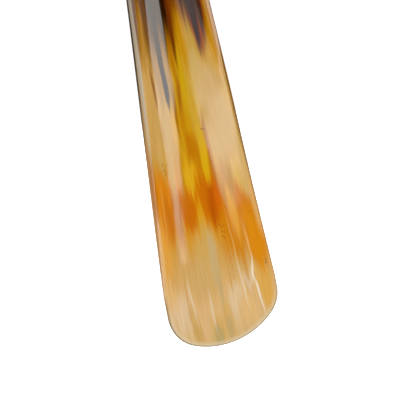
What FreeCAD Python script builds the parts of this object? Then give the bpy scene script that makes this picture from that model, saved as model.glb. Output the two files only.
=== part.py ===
"""Long shoehorn: a pressed and polished horn blade on a turned hardwood handle.

The blade's round neck ends in a spigot. A brass ferrule, pinned on both sides of the joint, sleeves the
spigot and the handle's reduced end, and a threaded stud ties the two together along the axis. At the other
end a second stud holds a horn knob on the handle, and a brass eyelet lines the knob's hanging hole.

The shoehorn hangs upright from that hole. The origin is the middle of the hole, +Z points up and the
dished front of the blade faces -Y. All sizes are in millimetres.
"""

import FreeCAD, Part

import math
import os

import Sketcher
from FreeCAD import Placement, Rotation, Vector

DRIVING_DIMENSIONS = [
    # blade
    ("blade_length", 300.0, "toe of the blade to the shoulder of its neck"),
    ("blade_width", 50.0, "widest, near the toe"),
    ("widest_height", 26.0, "above the toe, where the sides begin to converge"),
    ("toe_narrowing", 1.0, "narrower than the widest, level with the toe"),
    ("neck_diameter", 17.5, "round neck at the shoulder"),
    ("toe_thickness", 1.3, "wall at the toe"),
    ("wall_gain", 4.4, "extra wall over the blade's full length, before the neck fills in"),
    ("toe_dish", 3.2, "depth of the wall's middle line at the toe"),
    ("blade_dish", 9.2, "greatest depth of the wall's middle line"),
    ("bow_radius", 2600.0, "lengthwise curve, towards the front"),
    ("toe_radius", 32.7, "rounded lower edge"),
    ("corner_radius", 15.0, "from the lower edge to the sides"),
    ("toe_skew", 3.0, "lowest point of the hand-shaped edge, left of the middle"),
    # joint between blade and handle
    ("spigot_radius", 7.0, "horn spigot and reduced end of the handle"),
    ("spigot_length", 9.5, "horn spigot"),
    ("washer_thickness", 1.5, "fibre washers"),
    ("ferrule_length", 32.0, "brass ferrule"),
    ("ferrule_below", 8.0, "ferrule below the joint face"),
    ("ferrule_radius", 8.9, "outside, between the beads"),
    ("bead_radius", 9.6, "outside, over the beads"),
    ("bead_height", 2.6, "each bead"),
    ("fit_clearance", 0.03, "radial, around studs, pins and spigots"),
    ("tie_stud_radius", 3.0, "M6 stud between blade and handle"),
    ("tie_stud_length", 70.0, "M6 stud"),
    ("tie_stud_below", 30.0, "stud below the joint face"),
    ("pin_radius", 1.0, "ferrule pins"),
    ("pin_length", 4.2, "ferrule pins under the head"),
    ("pin_head_radius", 1.7, "ferrule pins"),
    ("pin_head_height", 0.6, "ferrule pins"),
    ("lower_pin_height", 5.0, "above the ferrule's lower end"),
    ("upper_pin_height", 22.0, "above the ferrule's lower end"),
    # handle
    ("handle_length", 258.0, "joint face to butt face"),
    ("handle_start_radius", 9.3, "just above the ferrule"),
    ("cove_radius", 800.0, "hollow curve above the ferrule"),
    ("cove_height", 95.0, "top of the hollow curve"),
    ("cove_end_radius", 10.6, "handle at the top of the hollow curve"),
    ("butt_radius", 11.3, "handle at the butt"),
    ("ring_groove_depth", 0.5, "turned rings"),
    ("ring_groove_spacing", 4.0, "turned rings"),
    # knob and hanging hole
    ("collar_height", 4.0, "brass collar under the knob"),
    ("collar_radius", 12.2, "brass collar"),
    ("knob_radius", 12.0, "horn knob"),
    ("knob_below", 16.0, "knob below the hanging hole"),
    ("knob_above", 14.0, "knob above the hanging hole"),
    ("cheek_half_width", 8.0, "between the flat cheeks and the middle"),
    ("cheek_below", 9.5, "flat cheeks below the hanging hole"),
    ("knob_stud_radius", 2.5, "M5 stud"),
    ("knob_stud_length", 40.0, "M5 stud"),
    ("knob_stud_below", 7.6, "top of the stud below the hanging hole"),
    ("eyelet_bore", 3.25, "radius of the hanging hole's lining"),
    ("eyelet_outer", 4.0, "outside radius of the lining"),
    ("eyelet_flange", 6.2, "radius of its two flanges"),
    ("eyelet_flange_thickness", 0.9, "each flange"),
]

# Share of the blade's length at each cross-section of its loft.
STATIONS = (0.0, 0.045, 0.09, 0.15, 0.22, 0.36, 0.5, 0.62, 0.73, 0.82, 0.9)
WALL_FILLS = (0.6, 1.0)  # the wall thickens to the solid neck over this share of the length
DISH_FADES = (0.55, 0.93)  # the dish runs out over this share of the length
DISH_DEEPENS = (0.0, 0.5)
CUT_MARGIN = 0.15  # the toe cutter's sides stand this far outside the blade
BORE_RELIEF = 1.5  # blind stud holes in the blade and handle are deeper than their studs by this
KNOB_BORE_RELIEF = 0.4
NECK_SPLITS = (60, 120)  # degrees, where the round neck's arcs meet so that they follow the wall's four
FERRULE_STEP = "Size.ferrule_length - Size.ferrule_below"  # the handle's reduced end
BEAD_SLOPE = 0.4  # height of the slope from a bead to the plain sleeve
BUTT_RINGS_BELOW = 9.0  # turned rings below the butt, and above the ferrule
FRONT_RINGS_ABOVE = 7.0
NECK_WASHER_PROUD = 0.35  # beyond the neck, and beyond the butt
BUTT_WASHER_PROUD = 0.3
# Rounded edges and bevels, as shares of the height or radius that they are cut from.
WASHER_ROUNDING = 0.3
BEAD_ROUNDING = 0.42
COLLAR_ROUNDING = 0.4
FLANGE_ROUNDING = 0.6
STUD_BEVEL = 0.2
# Rounded edges, in millimetres.
HANDLE_LIP_ROUNDING = 0.8
KNOB_FOOT_ROUNDING = 0.6
KNOB_CHEEK_ROUNDING = 0.8

os.makedirs("parts", exist_ok=True)
doc = FreeCAD.newDocument("long_shoehorn")


def make_sheet():
    """The driving dimensions, one aliased cell each, with its meaning beside it."""
    sheet = doc.addObject("Spreadsheet::Sheet", "Size")
    for row, (name, value, meaning) in enumerate(DRIVING_DIMENSIONS, start=1):
        sheet.set(f"A{row}", name)
        sheet.set(f"B{row}", str(value))
        sheet.setAlias(f"B{row}", name)
        sheet.set(f"C{row}", meaning)
    doc.recompute()
    return sheet


SHEET = make_sheet()


def size(expression):
    """What an expression on the sheet's cells comes to, in millimetres."""
    return float(SHEET.evalExpression(expression.replace("Size.", "")))


def smooth(share, span):
    """0 before the span, 1 after it and a smooth step between."""
    x = min(1.0, max(0.0, (share - span[0]) / (span[1] - span[0])))
    return x * x * (3.0 - 2.0 * x)


# ---------------------------------------------------------------- PartDesign helpers


def new_body(label):
    body = doc.addObject("PartDesign::Body", label)
    body.Label = label
    return body


def origin_feature(body, role):
    return next(f for f in body.Origin.OriginFeatures if f.Role == role)


def new_sketch(body, name, plane, offset="0"):
    """A sketch on an origin plane of the body, moved along the plane's normal by an expression."""
    sketch = body.newObject("Sketcher::SketchObject", name)
    sketch.AttachmentSupport = [(origin_feature(body, plane), "")]
    sketch.MapMode = "FlatFace"
    sketch.AttachmentOffset = Placement(Vector(0, 0, size(offset)), Rotation())
    if offset != "0":
        sketch.setExpression("AttachmentOffset.Base.z", offset)
    return sketch


def bind(sketch, kind, *where, to):
    """A driving constraint of the sketch, bound to an expression."""
    index = sketch.addConstraint(Sketcher.Constraint(kind, *where, size(to)))
    sketch.setExpression(f"Constraints[{index}]", to)


def place_point(sketch, edge, end, across, up):
    """Holds one end of an edge at a distance across and up from the sketch's origin."""
    for kind, value in (("DistanceX", across), ("DistanceY", up)):
        if value == "0":
            axis = -2 if kind == "DistanceX" else -1
            sketch.addConstraint(Sketcher.Constraint("PointOnObject", edge, end, axis))
        elif size(value) < 0:
            bind(sketch, kind, edge, end, -1, 1, to=f"-({value})")
        else:
            bind(sketch, kind, -1, 1, edge, end, to=value)


def outline(sketch, corners):
    """A closed outline of straight edges through corners, each a pair of expressions."""
    points = [Vector(size(x), size(y), 0) for x, y in corners]
    count = len(points)
    for i, point in enumerate(points):
        sketch.addGeometry(Part.LineSegment(point, points[(i + 1) % count]))
    for i in range(count):
        joined = Sketcher.Constraint("Coincident", i, 2, (i + 1) % count, 1)
        sketch.addConstraint(joined)
    for i, (x, y) in enumerate(corners):
        place_point(sketch, i, 1, x, y)


def circle(sketch, radius, across="0", up="0"):
    middle = Vector(size(across), size(up), 0)
    edge = sketch.addGeometry(Part.Circle(middle, Vector(0, 0, 1), size(radius)))
    place_point(sketch, edge, 3, across, up)
    bind(sketch, "Radius", edge, to=radius)


def revolve(body, sketch, cut=False):
    """Turns a sketch drawn on the XZ plane about the body's vertical axis."""
    kind = "PartDesign::Groove" if cut else "PartDesign::Revolution"
    turned = body.newObject(kind, f"{body.Label}_{'groove' if cut else 'turning'}")
    turned.Profile = sketch
    turned.ReferenceAxis = (sketch, ["V_Axis"])
    turned.Angle = 360
    doc.recompute()
    return turned


def pad(body, sketch, length):
    feature = body.newObject("PartDesign::Pad", f"{body.Label}_pad")
    feature.Profile = sketch
    feature.Length = size(length)
    feature.setExpression("Length", length)
    doc.recompute()
    return feature


def pocket(body, sketch, depth=None):
    """Cuts a sketch's shape to a depth below its plane or, with no depth, right through both ways."""
    before = body.Shape.Volume
    feature = body.newObject("PartDesign::Pocket", f"{body.Label}_pocket")
    feature.Profile = sketch
    if depth is None:
        feature.Type = "ThroughAll"
        feature.SideType = "Symmetric"
    else:
        feature.Length = size(depth)
        feature.setExpression("Length", depth)
    doc.recompute()
    if body.Shape.Volume >= before:
        raise RuntimeError(f"{feature.Label} cuts nothing")
    return feature


def edges_where(shape, test):
    """The names of the shape's edges that pass a test, as fillets and chamfers take them."""
    return [f"Edge{i}" for i, edge in enumerate(shape.Edges, start=1) if test(edge)]


def dress(body, kind, base, edge_names, amount):
    """A fillet or chamfer on edges of the base feature."""
    feature = body.newObject(f"PartDesign::{kind}", f"{body.Label}_{kind.lower()}")
    feature.Base = (base, edge_names)
    if kind == "Fillet":
        feature.Radius = amount
    else:
        feature.Size = amount
    doc.recompute()
    return feature


def is_ring(edge, height, tolerance=0.01):
    """True for an edge that lies level at a height."""
    box = edge.BoundBox
    return abs(box.ZMin - height) < tolerance and abs(box.ZMax - height) < tolerance


def lift(body, expression):
    """Moves a body to its height below or above the hanging hole."""
    body.Placement = Placement(Vector(0, 0, size(expression)), Rotation())
    body.setExpression("Placement.Base.z", expression)


# Heights of the stack, measured from the hanging hole.
COLLAR_AT = "-(Size.knob_below + Size.collar_height)"
BUTT_WASHER_AT = f"{COLLAR_AT} - Size.washer_thickness"
JOINT_AT = f"{BUTT_WASHER_AT} - Size.handle_length"
FERRULE_AT = f"{JOINT_AT} - Size.ferrule_below"
NECK_WASHER_AT = f"{FERRULE_AT} - Size.washer_thickness"
TOE_AT = f"{NECK_WASHER_AT} - Size.blade_length"


# ---------------------------------------------------------------- blade


def blade_section(body, share):
    """The wall's cross-section at a share of the blade's length: concentric arcs and round rims."""
    taper_starts = size("Size.widest_height / Size.blade_length")
    narrowing = max(0.0, (share - taper_starts) / (1.0 - taper_starts))
    rounding = max(0.0, 1.0 - share / taper_starts)
    fill = smooth(share, WALL_FILLS)
    deep = smooth(share, DISH_DEEPENS)
    fade = 1.0 - smooth(share, DISH_FADES)

    width = (
        f"(Size.blade_width - (Size.blade_width - Size.neck_diameter) * {narrowing:.4f}"
        f" - Size.toe_narrowing * {rounding:.4f})"
    )
    wall = (
        f"((Size.toe_thickness + Size.wall_gain * {share:.4f}) * {1.0 - fill:.4f}"
        f" + Size.neck_diameter * {fill:.4f})"
    )
    dish = f"((Size.toe_dish + (Size.blade_dish - Size.toe_dish) * {deep:.4f}) * {fade:.4f})"
    bow = f"(Size.blade_length * {1.0 - share:.4f})^2 / (2 * Size.bow_radius)"
    back = f"(Size.neck_diameter / 2 - {bow})"
    chord = f"(({width} - {wall}) / 2)"
    rim_at = f"({back} - {wall} / 2 - {dish})"
    middle_radius = f"(({chord}^2 + {dish}^2) / (2 * {dish}))"

    half_wall = size(wall) / 2.0
    radius = size(middle_radius)
    half_angle = math.asin(min(1.0, size(chord) / radius))
    centre = Vector(0, size(back) - half_wall - radius, 0)
    rim = Vector(size(chord), size(rim_at), 0)
    up = math.pi / 2.0
    normal = Vector(0, 0, 1)

    sketch = new_sketch(body, "section", "XY_Plane", f"Size.blade_length * {share:.4f}")
    outer = Part.Circle(centre, normal, radius + half_wall)
    inner = Part.Circle(centre, normal, radius - half_wall)
    left_rim = Part.Circle(Vector(-rim.x, rim.y, 0), normal, half_wall)
    right_rim = Part.Circle(rim, normal, half_wall)
    sketch.addGeometry(Part.ArcOfCircle(outer, up - half_angle, up + half_angle))
    sketch.addGeometry(Part.ArcOfCircle(left_rim, up + half_angle, up + half_angle + math.pi))
    sketch.addGeometry(Part.ArcOfCircle(inner, up - half_angle, up + half_angle))
    sketch.addGeometry(Part.ArcOfCircle(right_rim, -up - half_angle, up - half_angle))
    for join in ((0, 2, 1, 1), (1, 2, 2, 2), (2, 1, 3, 1), (3, 2, 0, 1)):
        sketch.addConstraint(Sketcher.Constraint("Tangent", *join))
    sketch.addConstraint(Sketcher.Constraint("Coincident", 0, 3, 2, 3))
    sketch.addConstraint(Sketcher.Constraint("Symmetric", 1, 3, 3, 3, -2))
    place_point(sketch, 3, 3, chord, rim_at)
    bind(sketch, "Radius", 3, to=f"{wall} / 2")
    bind(sketch, "Radius", 0, to=f"{middle_radius} + {wall} / 2")
    return sketch


def neck_section(body):
    """The round neck, in four arcs so that it lofts from the four of the last cross-section."""
    sketch = new_sketch(body, "neck_section", "XY_Plane", "Size.blade_length")
    ring = Part.Circle(Vector(0, 0, 0), Vector(0, 0, 1), size("Size.neck_diameter / 2"))
    side, flat = (math.radians(angle) for angle in NECK_SPLITS)
    for start, stop in ((side, flat), (flat, 2 * math.pi - flat), (-flat, -side), (-side, side)):
        sketch.addGeometry(Part.ArcOfCircle(ring, start, stop))
    for i in range(4):
        sketch.addConstraint(Sketcher.Constraint("Coincident", i, 2, (i + 1) % 4, 1))
        sketch.addConstraint(Sketcher.Constraint("Coincident", i, 3, -1, 1))
    bind(sketch, "Radius", 0, to="Size.neck_diameter / 2")
    half_chord = f"Size.neck_diameter / 2 * {math.cos(side):.4f}"
    for edge in (0, 2):
        sketch.addConstraint(Sketcher.Constraint("Symmetric", edge, 1, edge, 2, -2))
    bind(sketch, "DistanceX", -1, 1, 0, 1, to=half_chord)
    bind(sketch, "DistanceX", -1, 1, 2, 2, to=half_chord)
    return sketch


def toe_cutter(body):
    """Everything below the rounded toe: one wide arc and two corner arcs, up to the straight sides."""
    sketch = new_sketch(body, "toe_outline", "XZ_Plane")
    toe, corner = size("Size.toe_radius"), size("Size.corner_radius")
    side = size("Size.blade_width") / 2.0 + CUT_MARGIN
    middle = Vector(-size("Size.toe_skew"), toe, 0)
    centres = []
    for x in (-side + corner, side - corner):
        drop = math.sqrt((toe - corner) ** 2 - (x - middle.x) ** 2)
        centres.append(Vector(x, toe - drop, 0))
    left, right = centres
    meets = [math.atan2(c.y - middle.y, c.x - middle.x) for c in centres]
    normal = Vector(0, 0, 1)
    top, reach = size("Size.widest_height"), size("Size.blade_width")

    bottom_arc = Part.ArcOfCircle(Part.Circle(middle, normal, toe), meets[0], meets[1])
    left_arc = Part.ArcOfCircle(Part.Circle(left, normal, corner), -math.pi, meets[0])
    right_arc = Part.ArcOfCircle(Part.Circle(right, normal, corner), meets[1], 0.0)
    for arc in (left_arc, bottom_arc, right_arc):
        sketch.addGeometry(arc)
    ring = [
        Vector(side, right.y, 0),
        Vector(side, top, 0),
        Vector(reach, top, 0),
        Vector(reach, -reach, 0),
        Vector(-reach, -reach, 0),
        Vector(-reach, top, 0),
        Vector(-side, top, 0),
        Vector(-side, left.y, 0),
    ]
    for start, stop in zip(ring, ring[1:]):
        sketch.addGeometry(Part.LineSegment(start, stop))
    last = 2 + len(ring) - 1
    joins = [(0, 2, 1, 1), (1, 2, 2, 1), (2, 2, 3, 1), (last, 2, 0, 1)]
    kinds = ["Tangent"] * 4
    for edge in range(3, last):
        joins.append((edge, 2, edge + 1, 1))
        kinds.append("Coincident")
    for kind, join in zip(kinds, joins):
        sketch.addConstraint(Sketcher.Constraint(kind, *join))
    for edge in (3, 5, 7, last):
        sketch.addConstraint(Sketcher.Constraint("Vertical", edge))
    for edge in (4, 6, 8):
        sketch.addConstraint(Sketcher.Constraint("Horizontal", edge))
    bind(sketch, "Radius", 0, to="Size.corner_radius")
    bind(sketch, "Radius", 1, to="Size.toe_radius")
    bind(sketch, "Radius", 2, to="Size.corner_radius")
    place_point(sketch, 1, 3, "-Size.toe_skew", "Size.toe_radius")
    place_point(sketch, 3, 2, f"Size.blade_width / 2 + {CUT_MARGIN}", "Size.widest_height")
    place_point(sketch, last, 1, f"-(Size.blade_width / 2 + {CUT_MARGIN})", "Size.widest_height")
    place_point(sketch, 5, 2, "Size.blade_width", "-Size.blade_width")
    bind(sketch, "DistanceX", 7, 1, -1, 1, to="Size.blade_width")
    return sketch


def make_blade():
    body = new_body("horn_blade")
    sections = [blade_section(body, share) for share in STATIONS]
    sections.append(neck_section(body))
    doc.recompute()
    loft = body.newObject("PartDesign::AdditiveLoft", "wall")
    loft.Profile = sections[0]
    loft.Sections = sections[1:]
    doc.recompute()
    pocket(body, toe_cutter(body))

    spigot = new_sketch(body, "spigot", "XY_Plane", "Size.blade_length")
    circle(spigot, "Size.spigot_radius - Size.fit_clearance")
    pad(body, spigot, "Size.spigot_length")
    bore = new_sketch(body, "stud_bore", "XY_Plane", "Size.blade_length + Size.spigot_length")
    circle(bore, "Size.tie_stud_radius + Size.fit_clearance")
    pocket(body, bore, f"Size.tie_stud_below + {BORE_RELIEF}")
    pin_at = "Size.blade_length + Size.washer_thickness + Size.lower_pin_height"
    pins = new_sketch(body, "pin_holes", "YZ_Plane")
    circle(pins, "Size.pin_radius + Size.fit_clearance", up=pin_at)
    pocket(body, pins)
    lift(body, TOE_AT)
    return body


# ---------------------------------------------------------------- ferrule, washers and pins


def make_washer(label, bore, rim, at):
    body = new_body(label)
    sketch = new_sketch(body, "ring", "XY_Plane")
    circle(sketch, rim)
    circle(sketch, bore)
    flat = pad(body, sketch, "Size.washer_thickness")
    rims = edges_where(flat.Shape, lambda e: e.BoundBox.XMax > size(rim) - 0.01)
    dress(body, "Fillet", flat, rims, size("Size.washer_thickness") * WASHER_ROUNDING)
    lift(body, at)
    return body


def make_ferrule():
    """A turned sleeve with a rounded bead at each end and a pin hole through each half."""
    body = new_body("ferrule")
    top, bead = "Size.ferrule_length", "Size.bead_height"
    sketch = new_sketch(body, "profile", "XZ_Plane")
    outline(
        sketch,
        [
            ("Size.spigot_radius", "0"),
            ("Size.bead_radius", "0"),
            ("Size.bead_radius", bead),
            ("Size.ferrule_radius", f"{bead} + {BEAD_SLOPE}"),
            ("Size.ferrule_radius", f"{top} - {bead} - {BEAD_SLOPE}"),
            ("Size.bead_radius", f"{top} - {bead}"),
            ("Size.bead_radius", top),
            ("Size.spigot_radius", top),
        ],
    )
    turned = revolve(body, sketch)
    rim = size("Size.bead_radius")
    beads = edges_where(
        turned.Shape,
        lambda e: e.BoundBox.ZLength < 0.01 and e.BoundBox.XMax > rim - 0.01,
    )
    dress(body, "Fillet", turned, beads, size(bead) * BEAD_ROUNDING)
    for name, height in (("lower", "Size.lower_pin_height"), ("upper", "Size.upper_pin_height")):
        holes = new_sketch(body, f"{name}_pin_holes", "YZ_Plane")
        circle(holes, "Size.pin_radius + Size.fit_clearance", up=height)
        pocket(body, holes)
    lift(body, FERRULE_AT)
    return body


def make_pin(name, side, height):
    """One dome-headed pin, driven in towards the axis from +X or -X."""
    shank = doc.addObject("Part::Cylinder", f"{name}_shank")
    shank.setExpression("Radius", "Size.pin_radius")
    shank.setExpression("Height", "Size.pin_length")
    head = doc.addObject("Part::Ellipsoid", f"{name}_head")
    head.Angle1 = 0
    head.setExpression("Radius1", "Size.pin_head_height")
    head.setExpression("Radius2", "Size.pin_head_radius")
    head.setExpression("Radius3", "Size.pin_head_radius")
    head.setExpression("Placement.Base.z", "Size.pin_length")
    pin = doc.addObject("Part::Fuse", name)
    pin.Base, pin.Tool = shank, head
    pin.Placement = Placement(Vector(), Rotation(Vector(0, 1, 0), 90 * side))
    pin.setExpression("Placement.Base.x", f"{side} * (Size.ferrule_radius - Size.pin_length)")
    pin.setExpression("Placement.Base.z", f"{FERRULE_AT} + {height}")
    return pin


def make_pins():
    pins = doc.addObject("Part::Compound", "ferrule_pins")
    pins.Label = "ferrule_pins"
    pins.Links = [
        make_pin(f"{row}_{side_name}_pin", side, f"Size.{row}_pin_height")
        for row in ("lower", "upper")
        for side_name, side in (("left", -1), ("right", 1))
    ]
    return pins


def make_stud(label, radius, length, at):
    """A threaded stud as a plain rod of its major diameter, with bevelled ends."""
    body = new_body(label)
    sketch = new_sketch(body, "rod", "XY_Plane")
    circle(sketch, radius)
    rod = pad(body, sketch, length)
    ends = edges_where(rod.Shape, lambda e: e.BoundBox.ZLength < 0.01)
    dress(body, "Chamfer", rod, ends, size(radius) * STUD_BEVEL)
    lift(body, at)
    return body


# ---------------------------------------------------------------- handle


def handle_profile(body):
    """Half of the handle's lengthwise section: reduced end, hollow curve, swell and butt."""
    sketch = new_sketch(body, "profile", "XZ_Plane")
    corners = {
        "axis_foot": ("0", "0"),
        "spigot_foot": ("Size.spigot_radius - Size.fit_clearance", "0"),
        "spigot_top": ("Size.spigot_radius - Size.fit_clearance", FERRULE_STEP),
        "shoulder": ("Size.handle_start_radius", FERRULE_STEP),
        "cove_end": ("Size.cove_end_radius", "Size.cove_height"),
        "butt": ("Size.butt_radius", "Size.handle_length"),
        "axis_top": ("0", "Size.handle_length"),
    }
    at = {name: Vector(size(x), size(y), 0) for name, (x, y) in corners.items()}

    # The hollow curve's centre stands outside the handle, off the middle of its chord.
    radius = size("Size.cove_radius")
    chord = at["cove_end"] - at["shoulder"]
    across = Vector(chord.y, -chord.x, 0).normalize()
    height = math.sqrt(radius**2 - chord.Length**2 / 4.0)
    hollow = (at["shoulder"] + at["cove_end"]) * 0.5 + across * height
    # The swell leaves it on the same tangent, so its centre lies on the same line, on the other side.
    inward = (at["cove_end"] - hollow).normalize()
    rest = at["butt"] - at["cove_end"]
    swell_radius = rest.dot(rest) / (2.0 * rest.dot(inward))
    swell = at["cove_end"] + inward * swell_radius

    def angle(centre, point):
        return math.atan2(point.y - centre.y, point.x - centre.x) % (2.0 * math.pi)

    lines = ["axis_foot", "spigot_foot", "spigot_top", "shoulder"]
    for start, stop in zip(lines, lines[1:]):
        sketch.addGeometry(Part.LineSegment(at[start], at[stop]))
    hollow_circle = Part.Circle(hollow, Vector(0, 0, 1), radius)
    hollow_ends = angle(hollow, at["cove_end"]), angle(hollow, at["shoulder"])
    cove = sketch.addGeometry(Part.ArcOfCircle(hollow_circle, *hollow_ends))
    swell_circle = Part.Circle(swell, Vector(0, 0, 1), swell_radius)
    swell_ends = angle(swell, at["cove_end"]) - 2.0 * math.pi, angle(swell, at["butt"])
    grip = sketch.addGeometry(Part.ArcOfCircle(swell_circle, *swell_ends))
    butt = sketch.addGeometry(Part.LineSegment(at["butt"], at["axis_top"]))
    axis = sketch.addGeometry(Part.LineSegment(at["axis_top"], at["axis_foot"]))

    for join in (
        (0, 2, 1, 1),
        (1, 2, 2, 1),
        (2, 2, cove, 2),
        (grip, 2, butt, 1),
        (butt, 2, axis, 1),
        (axis, 2, 0, 1),
    ):
        sketch.addConstraint(Sketcher.Constraint("Coincident", *join))
    sketch.addConstraint(Sketcher.Constraint("Tangent", cove, 1, grip, 1))
    for index, name in enumerate(lines[:3]):
        place_point(sketch, index, 1, *corners[name])
    place_point(sketch, 2, 2, *corners["shoulder"])
    place_point(sketch, cove, 1, *corners["cove_end"])
    place_point(sketch, butt, 1, *corners["butt"])
    place_point(sketch, axis, 1, *corners["axis_top"])
    bind(sketch, "Radius", cove, to="Size.cove_radius")
    return sketch


def ring_groove(body, name, radius, height):
    """A small V turned into the handle's surface."""
    sketch = new_sketch(body, name, "XZ_Plane")
    depth = "Size.ring_groove_depth"
    outline(
        sketch,
        [
            (f"{radius} - {depth}", height),
            (f"{radius} + {depth}", f"{height} - 2 * {depth}"),
            (f"{radius} + {depth}", f"{height} + 2 * {depth}"),
        ],
    )
    revolve(body, sketch, cut=True)


def make_handle():
    body = new_body("handle")
    turned = revolve(body, handle_profile(body))
    step, top = size(FERRULE_STEP), size("Size.handle_length")
    start, butt = size("Size.handle_start_radius"), size("Size.butt_radius")
    lips = edges_where(
        turned.Shape,
        lambda e: (is_ring(e, step) and e.BoundBox.XMax > start - 0.01)
        or (is_ring(e, top) and e.BoundBox.XMax > butt - 0.01),
    )
    dress(body, "Fillet", turned, lips, HANDLE_LIP_ROUNDING)
    for i in range(2):
        spacing = f"Size.ring_groove_spacing * {i}"
        near_butt = f"Size.handle_length - {BUTT_RINGS_BELOW} - {spacing}"
        ring_groove(body, f"butt_ring_{i}", "Size.butt_radius + 0.2", near_butt)
        near_ferrule = f"{FERRULE_STEP} + {FRONT_RINGS_ABOVE} + {spacing}"
        ring_groove(body, f"front_ring_{i}", "Size.handle_start_radius", near_ferrule)

    foot_bore = new_sketch(body, "tie_stud_bore", "XY_Plane")
    foot_bore.AttachmentOffset = Placement(Vector(), Rotation(Vector(1, 0, 0), 180))
    circle(foot_bore, "Size.tie_stud_radius + Size.fit_clearance")
    pocket(body, foot_bore, f"Size.tie_stud_length - Size.tie_stud_below + {BORE_RELIEF}")
    butt_bore = new_sketch(body, "knob_stud_bore", "XY_Plane", "Size.handle_length")
    circle(butt_bore, "Size.knob_stud_radius + Size.fit_clearance")
    stud_foot = "Size.knob_stud_length + Size.knob_stud_below"
    butt_at = "Size.knob_below + Size.collar_height + Size.washer_thickness"
    pocket(body, butt_bore, f"{stud_foot} - ({butt_at}) + {BORE_RELIEF}")
    pins = new_sketch(body, "pin_holes", "YZ_Plane")
    circle(pins, "Size.pin_radius + Size.fit_clearance", up="Size.upper_pin_height - Size.ferrule_below")
    pocket(body, pins)
    lift(body, JOINT_AT)
    return body


# ---------------------------------------------------------------- knob end


def make_collar():
    """A brass ring between the handle's washer and the knob."""
    body = new_body("butt_collar")
    sketch = new_sketch(body, "profile", "XZ_Plane")
    inner = "Size.knob_stud_radius + Size.fit_clearance"
    outer, height = "Size.collar_radius", "Size.collar_height"
    outline(sketch, [(inner, "0"), (outer, "0"), (outer, height), (inner, height)])
    turned = revolve(body, sketch)
    rim = size(outer)
    rims = edges_where(
        turned.Shape,
        lambda e: e.BoundBox.ZLength < 0.01 and e.BoundBox.XMax > rim - 0.01,
    )
    dress(body, "Fillet", turned, rims, size(height) * COLLAR_ROUNDING)
    lift(body, COLLAR_AT)
    return body


def make_knob():
    """A domed horn knob with two flat cheeks around the hanging hole."""
    body = new_body("end_knob")
    sketch = new_sketch(body, "profile", "XZ_Plane")
    radius, foot = size("Size.knob_radius"), -size("Size.knob_below")
    dome_at = size("Size.knob_above") - radius
    sketch.addGeometry(Part.LineSegment(Vector(0, foot, 0), Vector(radius, foot, 0)))
    sketch.addGeometry(Part.LineSegment(Vector(radius, foot, 0), Vector(radius, dome_at, 0)))
    dome = Part.Circle(Vector(0, dome_at, 0), Vector(0, 0, 1), radius)
    sketch.addGeometry(Part.ArcOfCircle(dome, 0.0, math.pi / 2.0))
    sketch.addGeometry(Part.LineSegment(Vector(0, dome_at + radius, 0), Vector(0, foot, 0)))
    for kind, join in (
        ("Coincident", (0, 2, 1, 1)),
        ("Tangent", (1, 2, 2, 1)),
        ("Coincident", (2, 2, 3, 1)),
        ("Coincident", (3, 2, 0, 1)),
        ("PointOnObject", (2, 3, -2)),
    ):
        sketch.addConstraint(Sketcher.Constraint(kind, *join))
    place_point(sketch, 0, 1, "0", "-Size.knob_below")
    place_point(sketch, 0, 2, "Size.knob_radius", "-Size.knob_below")
    place_point(sketch, 2, 2, "0", "Size.knob_above")
    turned = revolve(body, sketch)
    rim = edges_where(
        turned.Shape,
        lambda e: is_ring(e, foot) and e.BoundBox.XMax > radius - 0.01,
    )
    dress(body, "Fillet", turned, rim, KNOB_FOOT_ROUNDING)

    for side in (-1, 1):
        cheek = new_sketch(body, f"cheek_{'front' if side < 0 else 'back'}", "YZ_Plane")
        near, far = f"{side} * Size.cheek_half_width", f"{side} * 2 * Size.knob_radius"
        foot_at, top_at = "-Size.cheek_below", "Size.knob_above + 1"
        outline(cheek, [(near, foot_at), (far, foot_at), (far, top_at), (near, top_at)])
        pocket(body, cheek)
    flat = size("Size.cheek_half_width")
    cheeks = edges_where(
        body.Shape,
        lambda e: min(abs(abs(v.Point.y) - flat) for v in e.Vertexes) < 0.01
        and e.BoundBox.YLength < 0.01
        and e.BoundBox.ZMax > -size("Size.cheek_below") + 0.5,
    )
    dress(body, "Fillet", body.Tip, cheeks, KNOB_CHEEK_ROUNDING)

    hole = new_sketch(body, "hanging_hole", "XZ_Plane")
    circle(hole, "Size.eyelet_outer + Size.fit_clearance")
    pocket(body, hole)
    bore = new_sketch(body, "stud_bore", "XY_Plane", "-Size.knob_below")
    bore.AttachmentOffset = Placement(Vector(0, 0, foot), Rotation(Vector(1, 0, 0), 180))
    circle(bore, "Size.knob_stud_radius + Size.fit_clearance")
    pocket(body, bore, f"Size.knob_below - Size.knob_stud_below + {KNOB_BORE_RELIEF}")
    return body


def make_eyelet():
    """The hanging hole's lining, a tube along Y with its front flange."""
    body = new_body("eyelet_barrel")
    sketch = new_sketch(body, "profile", "XY_Plane")
    face = "-Size.cheek_half_width"
    lip = f"{face} - Size.eyelet_flange_thickness"
    end = "Size.cheek_half_width + Size.eyelet_flange_thickness"
    outline(
        sketch,
        [
            ("Size.eyelet_bore", lip),
            ("Size.eyelet_flange", lip),
            ("Size.eyelet_flange", face),
            ("Size.eyelet_outer", face),
            ("Size.eyelet_outer", end),
            ("Size.eyelet_bore", end),
        ],
    )
    turned = revolve(body, sketch)
    flange = size("Size.eyelet_flange")
    front = size(lip)
    rims = edges_where(
        turned.Shape,
        lambda e: e.BoundBox.YMax < front + 0.01 and e.BoundBox.XMax > flange - 0.01,
    )
    dress(body, "Fillet", turned, rims, size("Size.eyelet_flange_thickness") * FLANGE_ROUNDING)
    return body


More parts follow.
